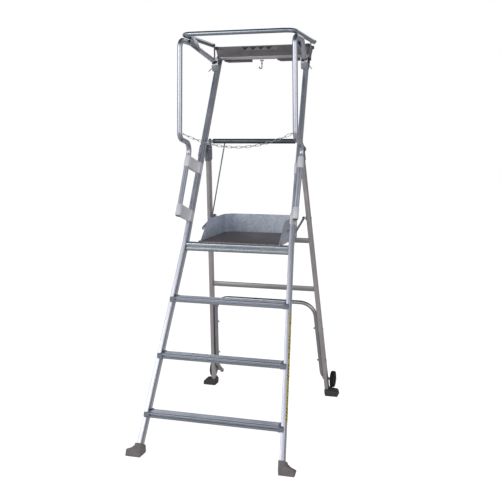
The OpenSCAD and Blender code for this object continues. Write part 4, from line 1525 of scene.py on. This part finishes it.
@dataclass
class Wheels(Workshop):
    """The two small wheels: grooved tyre and webbed hub.

    Attributes:
        tread_grooves: How many grooves go round a tyre.
        spokes: How many spokes a hub has.
        spoke_w: Width of a spoke along the axle.
        rim_r: Radius where the hub meets the tyre.
    """

    tread_grooves: int = 5
    spokes: int = 6
    spoke_w: float = 18.0
    rim_r: float = 26.0

    def build(self) -> None:
        """Makes both wheels."""
        tyre, hub = self.tyre(), self.hub()
        left_tyre = Bench.mirrored(tyre, "left_tyre_made")
        left_hub = Bench.mirrored(hub, "left_hub_made")
        self.fit(tyre, "right_wheel", TYRE, "tyre_rubber", "right_tyre")
        self.fit(hub, "right_wheel", BLACK, "black_plastic", "right_hub")
        self.fit(left_tyre, "left_wheel", TYRE, "tyre_rubber", "left_tyre")
        self.fit(left_hub, "left_wheel", BLACK, "black_plastic", "left_hub")

    def centre(self) -> Vector:
        """The right wheel's middle."""
        return PLAN.at(PLAN.wheel_x, PLAN.wheel_y, PLAN.wheel_z)

    def tyre(self) -> bpy.types.Object:
        """Spins the tyre's section, with grooves round its tread.

        Returns:
            The right tyre.
        """
        radius, half = PLAN.wheel_dia / 2, PLAN.wheel_w / 2
        shoulder = [(radius - 0.9, half - 4.2), (radius - 2.4, half - 2.4)]
        shoulder.append((radius - 6, half - 1.0))
        crown: Outline = [(r, -x) for r, x in reversed(shoulder)]
        for k in range(self.tread_grooves):
            x = -7.2 + 3.6 * k
            top, floor = radius - 0.1 - 0.012 * x * x, radius - 1.5
            crown += [(top, x - 0.9), (top, x + 0.9), (floor, x + 1.1), (floor, x + 1.7)]
        rim = self.rim_r
        wall = [(rim + 4, half - 1.8), (rim + 2.5, half - 3.4), (rim, half - 3)]
        outline = crown + shoulder + wall + [(r, -x) for r, x in reversed(wall)]
        return Bench.lathed("right_tyre_made", outline, self.centre())

    def hub(self) -> bpy.types.Object:
        """Spins the hub's section and adds its spokes.

        Returns:
            The right hub.
        """
        half = PLAN.wheel_w / 2
        boss: Outline = [(5.05, half - 0.5), (10.0, half - 0.5), (11.0, half - 1.6), (11.8, 4.2)]
        web: Outline = [(13.0, 3.2), (20.5, 3.2), (21.6, 4.2)]
        rim: Outline = [(22.2, half - 3.6), (23.0, half - 3.0), (self.rim_r, half - 3.0)]
        face = boss + web + rim
        outline = face + [(r, -x) for r, x in reversed(face)]
        pieces = [Bench.lathed("right_hub_made", outline, self.centre())]
        section: Outline = [(-1.4, 0), (1.4, 0), (1.1, 11.5), (-1.1, 11.5)]
        foot = Matrix.Translation((-self.spoke_w / 2 * MM, 0, 11 * MM)) @ ACROSS
        for k in range(self.spokes):
            turn = Matrix.Rotation(2 * math.pi * k / self.spokes, 4, "X")
            place = Matrix.Translation(self.centre()) @ turn @ foot
            run = Vector((self.spoke_w * MM, 0, 0))
            pieces.append(Bench.prism(f"spoke_{k}", section, place, [run], 0.3))
        return Bench.joined(pieces, "right_hub_made")


@dataclass
class Platform(Workshop):
    """The folding platform: frame, brown board, bent toe board and its pins.

    Attributes:
        body: The body that it rides on.
        corner: How far the toe board's cut corners run, in millimetres.
        sheet: Thickness of the toe board's sheet.
        slants: Cuts of its front ends: distance behind the front, height and slope.
    """

    body: str = "platform"
    corner: float = 38.0
    sheet: float = 2.0
    slants: tuple[tuple[float, float, float], ...] = ((4.0, 0.0, 0.833), (106.0, 85.0, 0.61))

    def build(self) -> None:
        """Makes all pieces of the platform."""
        self.refit("deck_frame", self.body, MILL, "mill_aluminium", 0.7)
        self.refit("deck_panel", self.body, DECK, "deck_brown", 0.7)
        self.boards()
        self.refit("platform_pins", self.body, ZINC, "zinc_steel")

    def boards(self) -> None:
        """Folds the toe board's sheet round the deck, and slants its front ends."""
        half, front, back = PLAN.deck_half, PLAN.deck_y0, PLAN.deck_y0 + PLAN.deck_len
        low = PLAN.deck_z - PLAN.deck_t + 2
        fold, across = back - self.corner, half - self.corner
        right = [(half, front), (half, fold), (across, back)]
        inner = right + [(-x, y) for x, y in reversed(right)]
        out, turn = half + self.sheet, self.sheet * 0.4
        left = [(-out, front), (-out, fold + turn), (-across - turn, back + self.sheet)]
        outer = left + [(-x, y) for x, y in reversed(left)]
        rise = Vector((0, 0, (PLAN.deck_z + PLAN.toe_h - low) * MM))
        place = Matrix.Translation(PLAN.at(0, 0, low))
        piece = Bench.prism("toe_boards_made", inner + outer, place, [rise])
        for behind, up, slope in self.slants:
            point = PLAN.at(0, front + behind, PLAN.deck_z + up)
            Bench.cut_off(piece, point, Vector((0, -slope, 1)).normalized())
        Bench.rounded(piece, 0.7, 50)
        Bench.smooth(piece, 40)
        self.fit(piece, self.body, TOE_SHEET, "toe_sheet", "toe_boards")


@dataclass
class Gate(Workshop):
    """The gate bar across the front, hinged at its tails.

    Attributes:
        body: The body that it rides on.
        bend_r: Radius of its bends.
        cap_play: How much smaller all round its end caps are made.
    """

    body: str = "gate"
    bend_r: float = 48.0
    cap_play: float = 0.4

    def build(self) -> None:
        """Bends the gate bar, and caps its ends a little small so that they clear the straps."""
        half = PLAN.guard_half - 7
        tail = PLAN.gate_pivot_y + 12
        start = Matrix.Translation((half, tail, PLAN.gate_z)) @ Matrix.Rotation(math.pi / 2, 4, "X")
        side = tail - PLAN.gate_front_y - self.bend_r
        path = TubePath("gate_bar_made", start, PLAN.gate_dia)
        path.run(side).bend(90, self.bend_r, 90).run(2 * (half - self.bend_r))
        path.bend(90, self.bend_r, 90).run(side)
        self.fit(path.finished(), self.body, GATE_TUBE, "guard_aluminium", "gate_bar")
        caps = Bench.refit("gate_end_caps", 1.4)
        Bench.edit(caps)
        bpy.ops.transform.shrink_fatten(value=-self.cap_play * MM)
        Bench.close()
        self.fit(caps, self.body, BLACK, "black_plastic", "gate_end_caps")


@dataclass
class Studio:
    """A pale floor, soft lights, a pale sky and the camera.

    Attributes:
        floor_size: Side of the floor, in metres.
        camera_at: The camera's place, in metres.
        camera_turn: The camera's turn, in degrees.
        lens: Its focal length.
        lens_shift: How far its lens is shifted sideways.
    """

    floor_size: float = 40.0
    camera_at: Triple = (1.0941, -3.6541, 1.4599)
    camera_turn: Triple = (90 - 8.34, 0.0, 16.49)
    lens: float = 54.6
    lens_shift: float = 0.005

    def build(self) -> None:
        """Sets up floor, light and camera."""
        self.floor()
        self.sky()
        self.lamp("key", (-2.6, -4.2, 2.8), 3.0, 42)
        self.lamp("fill", (3.8, -3.4, 1.8), 2.0, 14)
        self.lamp("back", (0.5, 3.6, 3.6), 2.4, 12)
        self.camera()
        bpy.context.scene.view_settings.view_transform = "Standard"

    def floor(self) -> None:
        """Lays the floor."""
        Bench.clear()
        bpy.ops.mesh.primitive_grid_add(x_subdivisions=4, y_subdivisions=4, size=self.floor_size)
        floor = Bench.named(bpy.context.object, "studio_floor")
        desk = FinishDesk("studio_floor")
        cloud = desk.noise(desk.place(), 0.6, 2.0)
        seen = desk.add("ShaderNodeLightPath").outputs["Is Camera Ray"]
        desk.dress(
            Base_Color=desk.ramp(cloud, [(0.3, (0.50, 0.475, 0.46)), (0.7, (0.52, 0.495, 0.48))]),
            Roughness=0.9,
            Emission_Color=(1, 0.99, 0.985, 1),
            Emission_Strength=desk.spread(seen, 0.16, 0.93, 0.0, 1.0),
        )
        floor.data.materials.append(desk.material)

    def sky(self) -> None:
        """A pale surround: bright low down, greyer above and behind, white to the camera."""
        world = bpy.data.worlds.new("studio_sky")
        bpy.context.scene.world = world
        world.use_nodes = True
        desk = NodeDesk(world.node_tree)
        split = desk.add("ShaderNodeSeparateXYZ")
        desk.join(desk.add("ShaderNodeTexCoord").outputs["Generated"], split.inputs["Vector"])
        pale = [(0.0, (0.78, 0.77, 0.79)), (0.12, (0.90, 0.90, 0.95)), (0.52, (0.90, 0.90, 0.97))]
        grey = [(0.66, (0.052, 0.082, 0.102)), (1.0, (0.12, 0.155, 0.18))]
        rise = desk.ramp(split.outputs["Z"], pale + grey)
        behind = desk.spread(split.outputs["Y"], 1.0, 0.26, -0.55, 0.45)
        seen = desk.add("ShaderNodeMix", data_type="RGBA")
        seen.inputs["B"].default_value = (1, 1, 1, 1)
        path = desk.add("ShaderNodeLightPath")
        desk.join(path.outputs["Is Camera Ray"], seen.inputs["Factor"])
        desk.join(desk.blend("MULTIPLY", 1.0, rise, behind), seen.inputs["A"])
        back = desk.tree.nodes["Background"]
        desk.join(seen.outputs["Result"], back.inputs["Color"])
        back.inputs["Strength"].default_value = 1.0

    def lamp(self, name: str, at: Triple, size: float, power: float) -> None:
        """Hangs a square soft light that looks at the ladder's middle.

        Args:
            name: Its name.
            at: Its place in metres.
            size: Its side in metres.
            power: Its power in watts.
        """
        data = bpy.data.lights.new(name, "AREA")
        data.size, data.energy = size, power
        lamp = bpy.data.objects.new(name, data)
        bpy.context.scene.collection.objects.link(lamp)
        lamp.location = at
        lamp.rotation_euler = (Vector((0, 0, 1.0)) - Vector(at)).to_track_quat("-Z", "Y").to_euler()

    def camera(self) -> None:
        """Sets the camera up, a little above the platform and to the right of the ladder."""
        data = bpy.data.cameras.new("camera")
        data.lens, data.sensor_width = self.lens, 36.0
        data.shift_x = self.lens_shift
        camera = bpy.data.objects.new("camera", data)
        bpy.context.scene.collection.objects.link(camera)
        camera.location = self.camera_at
        camera.rotation_euler = [math.radians(a) for a in self.camera_turn]
        bpy.context.scene.camera = camera


def main() -> None:
    """Builds the ladder's sub-assemblies and the studio."""
    ladder = (ClimbingFrame(), Guard(), TrayTop(), ProppingFrame(), Wheels(), Platform(), Gate())
    for part in (*ladder, Studio()):
        part.build()
        log.info("built %s", type(part).__name__)


if __name__ == "__main__":
    main()
